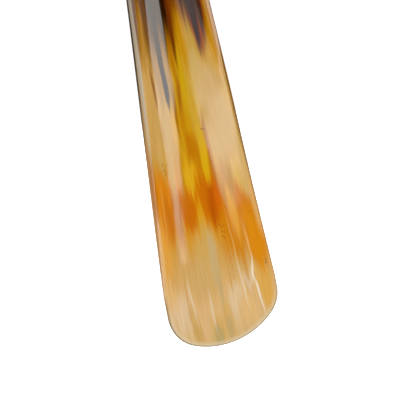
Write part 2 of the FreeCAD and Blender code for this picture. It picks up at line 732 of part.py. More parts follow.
def make_eyelet_washer():
    """The ring that the eyelet's back end is set over."""
    body = new_body("eyelet_washer")
    sketch = new_sketch(body, "profile", "XY_Plane")
    inner, outer = "Size.eyelet_outer + Size.fit_clearance", "Size.eyelet_flange"
    face, end = "Size.cheek_half_width", "Size.cheek_half_width + Size.eyelet_flange_thickness"
    outline(sketch, [(inner, face), (outer, face), (outer, end), (inner, end)])
    turned = revolve(body, sketch)
    flange, back = size(outer), size(end)
    rims = edges_where(
        turned.Shape,
        lambda e: e.BoundBox.YMin > back - 0.01 and e.BoundBox.XMax > flange - 0.01,
    )
    dress(body, "Fillet", turned, rims, size("Size.eyelet_flange_thickness") * FLANGE_ROUNDING)
    return body


# ---------------------------------------------------------------- assembly and export


def make_parts():
    washer_bore = "Size.spigot_radius"
    stud_bore = "Size.knob_stud_radius + Size.fit_clearance"
    tie_at = f"{JOINT_AT} - Size.tie_stud_below"
    knob_stud_at = "-(Size.knob_stud_below + Size.knob_stud_length)"
    neck_rim = f"Size.neck_diameter / 2 + {NECK_WASHER_PROUD}"
    butt_rim = f"Size.butt_radius + {BUTT_WASHER_PROUD}"
    return [
        make_blade(),
        make_washer("neck_washer", washer_bore, neck_rim, NECK_WASHER_AT),
        make_ferrule(),
        make_pins(),
        make_stud("tie_stud", "Size.tie_stud_radius", "Size.tie_stud_length", tie_at),
        make_handle(),
        make_washer("butt_washer", stud_bore, butt_rim, BUTT_WASHER_AT),
        make_collar(),
        make_stud("knob_stud", "Size.knob_stud_radius", "Size.knob_stud_length", knob_stud_at),
        make_knob(),
        make_eyelet(),
        make_eyelet_washer(),
    ]


parts = make_parts()
doc.recompute()

failed = [o.Label for o in doc.Objects if "Invalid" in o.State or "Error" in o.State]
if failed:
    raise RuntimeError(f"these objects failed: {failed}")
for part in parts:
    if part.Shape.isNull() or not part.Shape.isValid() or not part.Shape.Solids:
        raise RuntimeError(f"{part.Label} has no valid solid")

for part in parts:
    part.Shape.exportStep(f"parts/{part.Label}.step")
    box = part.Shape.BoundBox
    print(
        f"{part.Label:15s} {len(part.Shape.Solids)} solid(s) {part.Shape.Volume:10.1f} mm3"
        f"  x {box.XMin:7.2f}..{box.XMax:6.2f}  y {box.YMin:7.2f}..{box.YMax:6.2f}"
        f"  z {box.ZMin:8.2f}..{box.ZMax:8.2f}"
    )
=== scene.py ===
"""Looks of the long shoehorn: horn blade, brass ferrule, turned wooden handle, horn knob and eyelet.

Every length is in metres, in the CAD model's frame: the origin in the middle of the hanging hole, +Z up, the
blade's dished front towards -Y. Heights on the blade are measured up from its toe.
"""

import math

import bmesh
import bpy
from mathutils import Matrix, Vector


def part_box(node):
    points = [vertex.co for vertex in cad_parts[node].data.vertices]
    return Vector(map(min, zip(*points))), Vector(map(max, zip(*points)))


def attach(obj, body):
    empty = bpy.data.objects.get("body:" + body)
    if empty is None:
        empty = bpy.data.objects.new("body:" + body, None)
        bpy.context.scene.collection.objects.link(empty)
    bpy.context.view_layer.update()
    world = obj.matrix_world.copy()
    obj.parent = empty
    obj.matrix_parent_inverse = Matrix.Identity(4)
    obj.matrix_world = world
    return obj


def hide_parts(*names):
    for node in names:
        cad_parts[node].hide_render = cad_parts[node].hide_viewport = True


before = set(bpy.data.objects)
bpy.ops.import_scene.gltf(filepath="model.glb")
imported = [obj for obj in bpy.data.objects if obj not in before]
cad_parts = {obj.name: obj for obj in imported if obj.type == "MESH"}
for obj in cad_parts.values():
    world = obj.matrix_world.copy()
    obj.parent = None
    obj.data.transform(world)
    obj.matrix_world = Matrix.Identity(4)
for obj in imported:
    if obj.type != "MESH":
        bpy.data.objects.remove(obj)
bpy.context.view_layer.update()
MM = 0.001

# ---- places read from the frame

BLADE_LOW, BLADE_HIGH = (Vector(c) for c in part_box("horn_blade"))
SHOULDER_Z = Vector(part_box("neck_washer")[0]).z
TOE_Z = BLADE_LOW.z
BLADE_LENGTH = SHOULDER_Z - TOE_Z

# ---- blade shape

BLADE_WIDTH = 50 * MM
WIDEST_HEIGHT = 26 * MM
NECK_DIAMETER = 17.5 * MM
NECK_EASE = 0.5 * MM
SPIGOT_RADIUS = 6.9 * MM
TOE_WALL = 1.3 * MM
WALL_GAIN = 4.4 * MM
TOE_DISH = 3.2 * MM
BLADE_DISH = 9.2 * MM
BOW_RADIUS = 2.6
TOE_RADIUS = 32.7 * MM
CORNER_RADIUS = 15 * MM
TOE_SKEW = 3 * MM
LEAST_LENGTH = 0.001 * MM

# Shares of the blade's length between which the dish deepens, the dish closes, and the wall fills the neck.
DISH_DEEPENS = (0.0, 0.5)
DISH_CLOSES = (0.55, 0.93)
NECK_FILLS = (0.6, 1.0)

# The wall's edge is round, and squarer on the right above the cup: the powers of its curve.
ROUND_EDGE, SQUARE_EDGE = 2.0, 4.0
SQUARE_ACROSS = (0.2, 0.8)
SQUARE_HEIGHTS = (60 * MM, 110 * MM)

BLADE_COLUMNS = 104
BLADE_ROWS = 170
TOE_EDGE_ROWS = 12
TOE_EDGE_REACH = 2.4 * MM
NECK_SHARP_ANGLE = math.radians(40)


def smooth(value, low, high):
    """0 below low, 1 above high and a smooth step between."""
    x = min(1.0, max(0.0, (value - low) / (high - low)))
    return x * x * (3.0 - 2.0 * x)


def blade_width(height):
    """Width of the flattened blade, which narrows evenly from its widest place to the neck."""
    narrowing = max(0.0, (height - WIDEST_HEIGHT) / (BLADE_LENGTH - WIDEST_HEIGHT))
    return BLADE_WIDTH - (BLADE_WIDTH - NECK_DIAMETER) * narrowing


def blade_section(height):
    """Half chord, middle radius, half wall and back line of the cross-section at a height."""
    share = height / BLADE_LENGTH
    fill = smooth(share, *NECK_FILLS)
    wall = (TOE_WALL + WALL_GAIN * share) * (1.0 - fill) + NECK_DIAMETER * fill
    dish = TOE_DISH + (BLADE_DISH - TOE_DISH) * smooth(share, *DISH_DEEPENS)
    dish = max(dish * (1.0 - smooth(share, *DISH_CLOSES)), LEAST_LENGTH)
    half_chord = max((blade_width(height) - wall) / 2.0, LEAST_LENGTH)
    middle_radius = (half_chord**2 + dish**2) / (2.0 * dish)
    back = NECK_DIAMETER / 2.0 - (BLADE_LENGTH - height) ** 2 / (2.0 * BOW_RADIUS)
    return half_chord, middle_radius, wall / 2.0, back


def toe_outline():
    """Centres of the toe's three arcs on the flattened blade, as (x, height): middle, left and right."""
    middle = Vector((-TOE_SKEW, TOE_RADIUS))
    corners = []
    for side in (-1, 1):
        x = side * (BLADE_WIDTH / 2.0 - CORNER_RADIUS)
        drop = math.sqrt((TOE_RADIUS - CORNER_RADIUS) ** 2 - (x - middle.x) ** 2)
        corners.append(Vector((x, TOE_RADIUS - drop)))
    return middle, corners[0], corners[1]


TOE_MIDDLE, LEFT_CORNER, RIGHT_CORNER = toe_outline()


def inside_arc(point, corner):
    """True where the nearest stretch of outline is that corner's arc."""
    away = point - corner
    along = corner - TOE_MIDDLE
    outward = math.copysign(1.0, corner.x)
    beyond = (along.x * away.y - along.y * away.x) * outward
    return away.x * outward > 0.0 and away.y < 0.0 and beyond > 0.0


def edge_distance(x, height):
    """How far a point of the flattened blade lies inside its outline."""
    point = Vector((x, height))
    side = blade_width(height) / 2.0 - abs(x)
    for corner in (LEFT_CORNER, RIGHT_CORNER):
        if inside_arc(point, corner):
            return CORNER_RADIUS - (point - corner).length
    if point.y < (LEFT_CORNER.y if x < 0 else RIGHT_CORNER.y):
        return min(side, TOE_RADIUS - (point - TOE_MIDDLE).length)
    return side


def outline_height(x):
    """Height of the toe's edge at a place across the flattened blade."""
    for corner in (LEFT_CORNER, RIGHT_CORNER):
        meet = TOE_MIDDLE + (corner - TOE_MIDDLE).normalized() * TOE_RADIUS
        if (x - meet.x) * math.copysign(1.0, corner.x) > 0.0:
            rest = max(0.0, CORNER_RADIUS**2 - (x - corner.x) ** 2)
            return corner.y - math.sqrt(rest)
    return TOE_MIDDLE.y - math.sqrt(TOE_RADIUS**2 - (x - TOE_MIDDLE.x) ** 2)


def blade_point(across, height):
    """The wall's front and back points at a share across (-1 to 1) and a height."""
    half_chord, radius, half_wall, back = blade_section(height)
    bend = math.asin(min(1.0, half_chord / radius))
    along = across * (radius * bend + half_wall)
    arc = max(-radius * bend, min(radius * bend, along))
    angle = arc / radius
    past = along - arc
    x = radius * math.sin(angle) + past * math.cos(angle)
    y = back - half_wall - radius * (1.0 - math.cos(angle)) - past * math.sin(abs(angle))
    distance = edge_distance(across * blade_width(height) / 2.0, height)
    inset = half_wall - min(max(distance, 0.0), half_wall)
    squareness = smooth(across, *SQUARE_ACROSS) * smooth(height, *SQUARE_HEIGHTS)
    power = ROUND_EDGE + (SQUARE_EDGE - ROUND_EDGE) * squareness
    thick = half_wall * max(0.0, 1.0 - (inset / half_wall) ** power) ** (1.0 / power)
    normal = Vector((math.sin(angle), math.cos(angle), 0.0))
    middle = Vector((x, y, TOE_Z + height))
    return middle - normal * thick, middle + normal * thick


def rows_up_the_blade():
    """Shares of a column's length, close together at the toe's rounded edge."""
    edge = [TOE_EDGE_REACH * (k / TOE_EDGE_ROWS) ** 2 for k in range(TOE_EDGE_ROWS + 1)]
    rest = [edge[-1] + (BLADE_LENGTH - edge[-1]) * k / BLADE_ROWS for k in range(1, BLADE_ROWS + 1)]
    return [h / BLADE_LENGTH for h in edge + rest]


def add_object(name, data):
    thing = bpy.data.objects.new(name, data)
    bpy.context.scene.collection.objects.link(thing)
    return thing


def build_mesh(name, vertices, faces, smooth_shading=True):
    mesh = bpy.data.meshes.new(name)
    mesh.from_pydata([tuple(v) for v in vertices], [], faces)
    mesh.validate()
    mesh.update()
    for polygon in mesh.polygons:
        polygon.use_smooth = smooth_shading
    return add_object(name, mesh)


def bridge(faces, low, high):
    """Adds the faces between two closed rings of as many points."""
    for k in range(len(low)):
        following = (k + 1) % len(low)
        faces.append([low[k], low[following], high[following], high[k]])


def add_neck(vertices, faces, loop):
    """Closes the blade's top with the neck's eased shoulder and the spigot that the ferrule hides."""
    neck = [Vector((vertices[index].x, vertices[index].y, 0.0)) for index in loop]
    rings = []
    for degrees in (30.0, 60.0, 90.0):
        angle = math.radians(degrees)
        inset = NECK_EASE * (1.0 - math.cos(angle))
        z = SHOULDER_Z - NECK_EASE + NECK_EASE * math.sin(angle)
        rings.append(([flat - flat.normalized() * inset for flat in neck], z))
    for z in (SHOULDER_Z, BLADE_HIGH.z):
        rings.append(([flat.normalized() * SPIGOT_RADIUS for flat in neck], z))
    for places, z in rings:
        first = len(vertices)
        vertices.extend(Vector((flat.x, flat.y, z)) for flat in places)
        ring = list(range(first, len(vertices)))
        bridge(faces, loop, ring)
        loop = ring
    faces.append(loop)


def make_blade():
    """The blade as one closed mesh; its "rim" attribute is each point's distance from the outline in mm."""
    columns = BLADE_COLUMNS
    shares = [math.sin(math.pi / 2.0 * (2.0 * i / columns - 1.0)) for i in range(columns + 1)]
    rows = rows_up_the_blade()
    vertices, rims, front, back = [], [], {}, {}
    for j, row in enumerate(rows):
        for i, across in enumerate(shares):
            foot = outline_height(across * BLADE_WIDTH / 2.0)
            height = foot + (BLADE_LENGTH - NECK_EASE - foot) * row
            before, behind = blade_point(across, height)
            rim = max(0.0, edge_distance(across * blade_width(height) / 2.0, height)) / MM
            front[i, j] = len(vertices)
            vertices.append(before)
            rims.append(rim)
            if j == 0 or i in (0, columns):
                back[i, j] = front[i, j]
            else:
                back[i, j] = len(vertices)
                vertices.append(behind)
                rims.append(rim)
    faces = []
    for j in range(len(rows) - 1):
        for i in range(columns):
            for sheet, turned in ((front, False), (back, True)):
                corners = [sheet[i, j], sheet[i + 1, j], sheet[i + 1, j + 1], sheet[i, j + 1]]
                corners = list(dict.fromkeys(corners))
                if len(corners) > 2:
                    faces.append(corners[::-1] if turned else corners)
    top = len(rows) - 1
    loop = [front[i, top] for i in range(columns + 1)]
    loop += [back[i, top] for i in range(columns - 1, 0, -1)]
    add_neck(vertices, faces, loop)
    blade = build_mesh("horn_blade_polished", vertices, faces)
    blade.data.set_sharp_from_angle(angle=NECK_SHARP_ANGLE)
    rims += [BLADE_WIDTH / 2.0 / MM] * (len(vertices) - len(rims))
    blade.data.attributes.new("rim", "FLOAT", "POINT").data.foreach_set("value", rims)
    return blade


# ---- material helpers


def linear(code):
    """An sRGB colour such as "c8a050" as the four linear numbers that a shader takes."""
    channels = [int(code[k:k + 2], 16) / 255.0 for k in (0, 2, 4)]
    return [c / 12.92 if c < 0.04045 else ((c + 0.055) / 1.055) ** 2.4 for c in channels] + [1.0]


class Shader:
    """The node tree of a material or world, built by plain calls that return output sockets."""

    def __init__(self, owner, output="OutputMaterial"):
        owner.use_nodes = True
        self.owner = owner
        self.tree = owner.node_tree
        self.tree.nodes.clear()
        self.output = self.node(output)

    def node(self, kind, inputs=None, **settings):
        node = self.tree.nodes.new("ShaderNode" + kind)
        for key, value in settings.items():
            setattr(node, key, value)
        for key, value in (inputs or {}).items():
            if isinstance(value, bpy.types.NodeSocket):
                self.tree.links.new(value, node.inputs[key])
            else:
                node.inputs[key].default_value = value
        return node

    def math(self, operation, *values):
        return self.node("Math", dict(enumerate(values)), operation=operation).outputs[0]

    def times(self, value, factor):
        return self.math("MULTIPLY", value, factor)

    def vector(self, x, y=0.0, z=0.0):
        return self.node("CombineXYZ", {0: x, 1: y, 2: z}).outputs[0]

    def stretched(self, parts, *factors):
        """The parts of a place, each times its own factor, as one vector."""
        return self.vector(*[self.times(part, factor) for part, factor in zip(parts, factors)])

    def parts(self, vector):
        return self.node("SeparateXYZ", {0: vector}).outputs

    def place(self):
        return self.node("TexCoord").outputs["Object"]

    def measure(self, operation, *vectors):
        """A vector operation whose result is a number: a length or a dot product."""
        node = self.node("VectorMath", dict(enumerate(vectors)), operation=operation)
        return node.outputs["Value"]

    def noise(self, vector, scale=1.0, detail=2.0, roughness=0.5):
        inputs = {"Vector": vector, "Scale": scale, "Detail": detail, "Roughness": roughness}
        return self.node("TexNoise", inputs).outputs[0]

    def wobble(self, vector, amount, scale=1.0, detail=2.0):
        """Noise centred on zero, of about plus or minus half the amount."""
        return self.times(self.math("SUBTRACT", self.noise(vector, scale, detail), 0.5), amount)

    def mix(self, factor, below, above, blend="MIX"):
        """Blends two colours, each a socket or a code."""
        below, above = (linear(c) if isinstance(c, str) else c for c in (below, above))
        node = self.node("Mix", {0: factor, 6: below, 7: above}, data_type="RGBA", blend_type=blend)
        return node.outputs[2]

    def span(self, value, low, high, to_low=0.0, to_high=1.0, curve="LINEAR"):
        """Maps low..high onto to_low..to_high and holds the ends."""
        inputs = {0: value, 1: low, 2: high, 3: to_low, 4: to_high}
        return self.node("MapRange", inputs, interpolation_type=curve).outputs[0]

    def soft_span(self, value, low, high, to_low=0.0, to_high=1.0):
        return self.span(value, low, high, to_low, to_high, "SMOOTHSTEP")

    def ramp(self, value, stops):
        """A colour ramp through (position, colour) stops, of any range."""
        low, high = stops[0][0], stops[-1][0]
        node = self.node("ValToRGB", {0: self.span(value, low, high)})
        elements = node.color_ramp.elements
        for k, (place, code) in enumerate(stops):
            share = (place - low) / (high - low)
            stop = elements[k] if k < 2 else elements.new(share)
            stop.position = share
            stop.color = linear(code)
        return node.outputs[0]

    def spindle(self, plan, x, y, half_x, half_y, soft, lean):
        """1 inside a long ellipse of the plan, 0 outside it, with a soft edge; lean tips its top to -x."""
        inverse = (1.0 / half_x, 1.0 / half_y, 0.0)
        shift = (-x / half_x, -y / half_y, 0.0)
        inputs = {0: plan, 1: inverse, 2: shift}
        local = self.node("VectorMath", inputs, operation="MULTIPLY_ADD").outputs[0]
        if lean:
            slope = (0.0, math.tan(math.radians(lean)) * half_y / half_x, 0.0)
            inputs = {0: local, 1: self.vector(self.measure("DOT_PRODUCT", local, slope))}
            local = self.node("VectorMath", inputs, operation="ADD").outputs[0]
        return self.soft_span(self.measure("LENGTH", local), 1.0 - soft, 1.0 + soft, 1.0, 0.0)

    def bump(self, height, distance, strength, under=None):
        """Relief of a distance in mm."""
        inputs = {"Height": height, "Distance": distance * MM, "Strength": strength}
        if under is not None:
            inputs["Normal"] = under
        return self.node("Bump", inputs).outputs[0]

    def finish(self, result):
        self.tree.links.new(result, self.output.inputs[0])
        return self.owner

    def surface(self, colour, roughness, inputs):
        """Ends a material with one shader for its whole surface."""
        inputs = {"Base Color": colour, "Roughness": roughness, **inputs}
        return self.finish(self.node("BsdfPrincipled", inputs).outputs[0])


def new_material(name):
    """The shader of a new material."""
    return Shader(bpy.data.materials.new(name))


# ---- horn

HORN_IOR = 1.55
HORN_ROUGHNESS = 0.09
SPECK_SIZE = (0.28, 0.34)
# Heights in mm between which the dark, streaky horn begins and the paler toe ends.
DARK_HEIGHTS = (160.0, 190.0)
TOE_HEIGHTS = (10.0, 28.0)

# Colours up the blade from the toe: (height in mm, colour).
HORN_ZONES = [
    (0, "ccaa6e"), (6, "d4b078"), (14, "d8b27a"), (22, "d6ac70"), (28, "d0a664"), (34, "cc9f58"),
    (41, "ce9b48"), (47, "d09430"), (52, "d28c10"), (57, "d08200"), (63, "cc7600"), (70, "cc7e00"),
    (77, "cc8e06"), (85, "c8940c"), (98, "c8940a"), (110, "c69a18"), (124, "c28e08"), (136, "b07604"),
    (146, "8c4c04"), (160, "5c2c06"), (190, "48240a"), (240, "3a200e"), (300, "2c1a0e"),
]

# Patches with finger-like ends. Each is (x, height, half width, half height, colour, strength), then its
# softness where that isn't 0.5 and its lean in degrees. Places are in mm on a plan of the blade widened to
# 50 mm all along.
HORN_PATCHES = [
    (-18, 104, 7.5, 24, "cca25a", 0.95, 0.4), (-11.5, 96, 3.4, 17, "b8924a", 0.9),
    (15.5, 93, 8.5, 16, "bb954c", 0.85, 0.45), (14, 118, 9, 11, "ae8200", 0.8),
    (23, 82, 3, 14, "c2a050", 0.7, 0.6), (-20, 66, 6, 13, "d88004", 0.85, 0.4),
    (-17.5, 58, 3.4, 9, "c46e08", 0.8), (-7.5, 60, 4.2, 8.5, "c66a00", 0.95, 0.35),
    (-3.6, 75, 3.2, 6.5, "d8a616", 0.95), (2.8, 63, 3.6, 12, "c66a00", 0.9, 0.45),
    (5.2, 61, 2.4, 10, "b65200", 0.9), (8.2, 61, 2.2, 11, "cc6200", 0.95),
    (11.5, 59, 2.4, 10, "cc7600", 0.92), (13.4, 69, 3.6, 12, "b47c08", 0.88),
    (14.8, 75, 2.6, 6, "b07c06", 0.7, 0.6), (20, 71, 3.4, 7.5, "d6ae58", 0.9, 0.35),
    (23.4, 71, 3, 11, "d2ac68", 0.95), (18, 57, 3.2, 9, "cc7800", 0.95, 0.45),
    (-2, 54, 2, 7, "d69a12", 0.9, 0.6), (20.5, 44, 4.6, 15, "d68600", 0.97, 0.35),
    (11.5, 46, 5.5, 11, "cc7e00", 0.95), (13.3, 57, 1.7, 11, "dc9c20", 0.85, 0.5, 2),
    (-22, 46, 3, 14, "e2a040", 0.7, 0.6), (-2.5, 40, 5, 12, "cca55a", 0.9),
    (-7, 31, 5, 9, "cda668", 0.8, 0.6), (-18.5, 18, 4.6, 9, "dabe96", 0.85, 0.6),
    (-22.5, 25, 3, 7, "dcae6c", 0.8, 0.6), (7.2, 21, 3, 5, "dabe92", 0.85),
    (13.6, 25, 2.2, 3.2, "dabe98", 0.8), (4.4, 14, 2, 8, "dcc096", 0.8, 0.6, -12),
    (-9, 15, 2.6, 7, "dab07c", 0.7, 0.6), (11.5, 13, 3, 6, "deb474", 0.7, 0.6),
    (20.5, 21, 3.6, 9, "d8a448", 0.9, 0.6), (-3.2, 7.5, 3.2, 7, "cda050", 0.7),
    (2, 9.5, 2.2, 7, "cda252", 0.7), (-12.6, 10, 1.8, 7, "c89c50", 0.7, 0.5, 6),
]

# Streaks that follow the fibres closely, in the same terms; the two pale lines low on the right, at (16.2,
# 29.5) and (16.9, 19), are painted highlights.
HORN_STREAKS_AND_PAINTED_HIGHLIGHTS = [
    (9.4, 130, 4.2, 11, "c09a2c", 0.85), (17.2, 121, 5, 7, "cc9f3c", 0.85),
    (13.3, 111, 5.8, 10, "ceaa6c", 0.88, 0.4), (9.8, 120, 3.2, 7, "c8a658", 0.85, 0.4),
    (21.6, 126, 2.4, 10, "cc9408", 0.85), (-1.8, 100, 1.4, 16, "bc7a00", 0.7),
    (-0.4, 86, 2.4, 6, "bc7000", 0.85), (2.2, 84, 1.6, 9, "be7600", 0.8, 0.6),
    (-1.4, 110, 1, 8, "a46408", 0.85, 0.5, -6), (5.3, 84, 1.8, 14.5, "d6a80e", 0.95, 0.3),
    (4.9, 108, 2.6, 20, "cca236", 0.8), (2, 117, 1.6, 12, "caa006", 0.8),
    (7.4, 112, 0.5, 14, "ccae54", 0.6, 0.6), (8.5, 91, 0.9, 9, "ac6e04", 0.85),
    (8.5, 78, 1.2, 9, "b06c04", 0.85), (-8.5, 78, 2, 12, "b47e06", 0.6),
    (-5, 106, 0.9, 15, "a26402", 0.8, 0.5, 1), (-15.5, 114, 0.9, 9, "94602a", 0.9, 0.5, 4),
    (-14.3, 100, 0.6, 12, "d6ae78", 0.6, 0.6, 2), (5.6, 134, 2.6, 15, "c48c00", 0.85),
    (-1.6, 130, 1.1, 13, "b06c00", 0.9), (-18.6, 140, 2.2, 14, "b07c10", 0.9),
    (-13.8, 150, 3.2, 26, "6e4c2c", 0.85), (-11.5, 124, 2.2, 17, "94703e", 0.8),
    (-5.8, 131, 1.8, 10, "7c5008", 0.85), (-5.7, 116, 1.7, 12, "987648", 0.9),
    (-4.7, 118, 1, 14, "a87608", 0.7, 0.6), (-12.7, 60, 1.9, 15, "ac6800", 0.9),
    (-12.8, 77, 1.6, 9, "bc9038", 0.8), (-11.4, 146, 1.8, 16, "3a1800", 0.9),
    (-8.8, 134, 1.6, 29, "060404", 0.98, 0.2, 1.5), (-8.4, 114, 1.4, 9, "0c1428", 0.95, 0.35, 1),
    (-7.2, 166, 5, 30, "0a0402", 0.97, 0.3), (1.2, 158, 3.9, 23, "7c3800", 0.9, 0.45),
    (-4, 154, 1.8, 28, "1a0600", 0.95, 0.4), (-1.4, 160, 3.2, 24, "240c00", 0.95, 0.4),
    (0.8, 138, 1.1, 15, "6c2e00", 0.88, 0.4), (5.6, 159, 1.9, 14, "6a3200", 0.8),
    (15.6, 168, 5.2, 42, "8c3000", 0.9, 0.16), (10.6, 166, 2.6, 27, "76481c", 0.85, 0.4),
    (14.7, 170, 2.3, 43, "2a1618", 0.98, 0.14), (18, 170, 1.8, 38, "3c221a", 0.98, 0.18),
    (12.4, 168, 2.2, 27, "34241e", 0.95, 0.3), (9.8, 170, 1.6, 24, "120602", 0.9, 0.3),
    (22.3, 146, 1.9, 22, "b87e04", 0.9), (21.2, 132, 0.5, 14, "d09420", 0.7, 0.6),
    (0.2, 37, 1.9, 12, "c6aa74", 0.85, 0.4, -2), (1, 24, 0.9, 9, "c2a672", 0.8, 0.4, -3),
    (-15, 42, 1.2, 8, "c69c60", 0.7, 0.6), (-3.7, 4.5, 2.1, 5, "b8a068", 0.9, 0.35),
    (1.7, 6.5, 1.5, 4.6, "bea26a", 0.85, 0.35), (-13.6, 7, 1.2, 4, "c49c58", 0.8, 0.5, 6),
    (-14.8, 15.5, 0.7, 3, "c4a468", 0.6), (-14.7, 20, 0.45, 12, "cc9c5c", 0.6, 0.6),
    (-12.7, 20, 0.5, 9, "dfcfb4", 0.5, 0.6, 4), (-4.6, 16, 0.5, 8, "e0d2b4", 0.55, 0.7),
    (-19.6, 62, 0.5, 12, "dc9c40", 0.5, 0.6), (-23.2, 50, 0.5, 26, "ecc68c", 0.6, 0.6),
    (10.4, 40, 0.3, 14, "e2b46c", 0.5, 0.6, 3), (10.9, 23, 0.4, 10, "e6d6b8", 0.6, 0.6, 3),
    # The pale lines at (16.2, 29.5) and (16.9, 19) are painted highlights.
    (16.7, 41, 0.35, 9, "e6ba74", 0.6, 0.6, 2), (16.2, 29.5, 0.45, 5.5, "ecdcc0", 0.85, 0.5, -9),
    (16.9, 19, 0.45, 8, "ece0c8", 0.8, 0.5, 6),
]

# Lines that run along the rims, in the same terms. The dark lines right at the edges, at x -24.7, -25.2 and
# 24.9, are painted shade on the rims' rounded sides, and the pale line at x -22.9 is a painted highlight
# inside the left rim.
HORN_RIM_LINES_AND_PAINTED_RIM_LIGHT = [
    (-24.7, 66, 1.2, 44, "bc8a4c", 0.85), (-23.4, 72, 1.1, 15, "b0680c", 0.8),
    (-25.2, 150, 1.5, 62, "2c2214", 0.95, 0.35), (-22.9, 146, 1, 56, "b8ac98", 0.9, 0.45),
    (-21.4, 156, 0.7, 30, "5a3e1c", 0.7), (23.9, 58, 1.5, 13, "d8a660", 0.9),
    (24.9, 112, 1.2, 55, "8c5c18", 0.85),
]

# Small dark specks in loose clusters: (x, height), about half a millimetre across.
HORN_SPECKS = [
    (-16.9, 81.2), (-15.2, 81), (-15.8, 79.4), (-16.6, 79), (-15.3, 78.1), (-15.9, 77.3), (-16.7, 82),
    (6.6, 93.4), (6.9, 93.3), (7.5, 93.2), (8.4, 93), (5.8, 51.4), (6.9, 50.2), (7.8, 50.6), (6.6, 48.3),
    (7.4, 47.8), (7, 45.3), (6.4, 46.2), (22.4, 33), (22.6, 32.2), (22.1, 31.6), (20.3, 54.8), (-11.7, 52),
]


def blade_plan(mat):
    """Across and up the blade in mm, on the plan that the marks are given in."""
    parts = mat.parts(mat.place())
    height = mat.times(mat.math("SUBTRACT", parts[2], TOE_Z), 1.0 / MM)
    neck = NECK_DIAMETER / BLADE_WIDTH
    share = mat.span(height, WIDEST_HEIGHT / MM, BLADE_LENGTH / MM, 1.0, neck)
    across = mat.math("DIVIDE", mat.times(parts[0], 1.0 / MM), share)
    return across, height


def lay(mat, colour, plan, x, height, half_x, half_y, code, strength, soft=0.5, lean=0.0):
    """Lays one soft mark over a colour."""
    inside = mat.spindle(plan, x, height, half_x, half_y, soft, lean)
    return mat.mix(mat.times(inside, strength), colour, code)


def paint(mat, colour, plan, marks):
    for mark in marks:
        colour = lay(mat, colour, plan, *mark)
    return colour


def horn_marks(mat, across, height):
    """The horn's colour zones with the patches and streaks on them, two of the streaks painted highlights;
    low noise gives them their fingers.
    """
    fine = mat.stretched((across, height), 0.9, 0.02)
    coarse = mat.stretched((across, height), 0.25, 0.012)
    sway = mat.wobble(mat.vector(0.0, mat.times(height, 0.05)), 1.6, detail=1.0)
    fingers = mat.math("ADD", mat.wobble(coarse, 18.0), mat.wobble(fine, 20.0, detail=4.0))
    sideways = mat.math("ADD", across, sway)
    patch_plan = mat.vector(sideways, mat.math("ADD", height, fingers))
    streak_plan = mat.vector(sideways, mat.math("ADD", height, mat.times(fingers, 0.35)))
    colour = mat.ramp(mat.parts(patch_plan)[1], HORN_ZONES)
    colour = paint(mat, colour, patch_plan, HORN_PATCHES)
    return paint(mat, colour, streak_plan, HORN_STREAKS_AND_PAINTED_HIGHLIGHTS)


def dark_streaks(mat, colour, across, height):
    """Darkens the horn above the cup, and leaves long amber streaks that thin out towards the neck."""
    streaky = mat.noise(mat.stretched((across, height), 0.34, 0.009), detail=5.0, roughness=0.6)
    reach = mat.span(height, *DARK_HEIGHTS)
    amber = mat.times(mat.soft_span(streaky, 0.5, 0.62), reach)
    warm = mat.ramp(height, [(150, "b47a10"), (220, "94580e"), (300, "5a3410")])
    colour = mat.mix(amber, colour, warm)
    coal = mat.times(mat.soft_span(streaky, 0.46, 0.38), reach)
    return mat.mix(coal, colour, "100a08")


def toe_edge_painted_light(mat, colour, height):
    """Paints a pale highlight along the thin toe's edge, and painted shade, duller and darker, right on the
    edge all round, strongest at the toe.
    """
    rim = mat.node("Attribute", attribute_name="rim").outputs["Fac"]
    low_down = mat.span(height, *TOE_HEIGHTS, 1.0, 0.0)
    # Painted highlight: a pale band just inside the edge, low on the toe.
    pale = mat.times(mat.span(rim, 0.7, 2.4, 0.65, 0.0), low_down)
    colour = mat.mix(pale, colour, "d8cbae")
    # Painted shade right on the rounded edge.
    rim_shade_mask = mat.span(rim, 0.25, 0.75, 0.8, 0.0)
    outline = mat.times(rim_shade_mask, mat.span(low_down, 0.0, 1.0, 0.3, 1.0))
    return mat.mix(outline, colour, "8a7450", "MULTIPLY")


def horn_material():
    """Polished natural horn: cream at the toe, orange, amber and then dark brown streaks up the blade."""
    mat = new_material("polished_horn")
    across, height = blade_plan(mat)
    colour = horn_marks(mat, across, height)
    colour = dark_streaks(mat, colour, across, height)

    # Fibres: fine lines along the blade, a little lighter and darker.
    fibre = mat.noise(mat.stretched((across, height), 2.6, 0.05), detail=5.0, roughness=0.65)
    colour = mat.mix(mat.span(fibre, 0.3, 0.6, 0.14, 0.0), colour, "a87c48", "MULTIPLY")
    colour = mat.mix(mat.span(fibre, 0.5, 0.75, 0.0, 0.16), colour, "bcbcbc", "DODGE")
    plain_plan = mat.vector(across, height)
    # Rim lines, among them painted shade on the rims and a painted highlight inside the left one.
    colour = paint(mat, colour, plain_plan, HORN_RIM_LINES_AND_PAINTED_RIM_LIGHT)
    for x, up in HORN_SPECKS:
        # A speck's lean follows from its place, so that neighbours differ.
        colour = lay(mat, colour, plain_plan, x, up, *SPECK_SIZE, "4a2c10", 0.55, lean=20.0 * (x % 3 - 1))
    colour = toe_edge_painted_light(mat, colour, height)

    grain = mat.bump(fibre, 0.02, 0.3)
    waves = mat.noise(mat.vector(across, mat.times(height, 0.3)), 0.12, 1.0)
    normal = mat.bump(waves, 0.4, 0.5, under=grain)
    return mat.surface(colour, HORN_ROUGHNESS, {"IOR": HORN_IOR, "Normal": normal})


# ---- turned pieces

TURNS = 128
SHARP_ANGLE = math.radians(35)
LOOP_GAP = 0.35 * MM
CHAMFER = 0.1 * MM


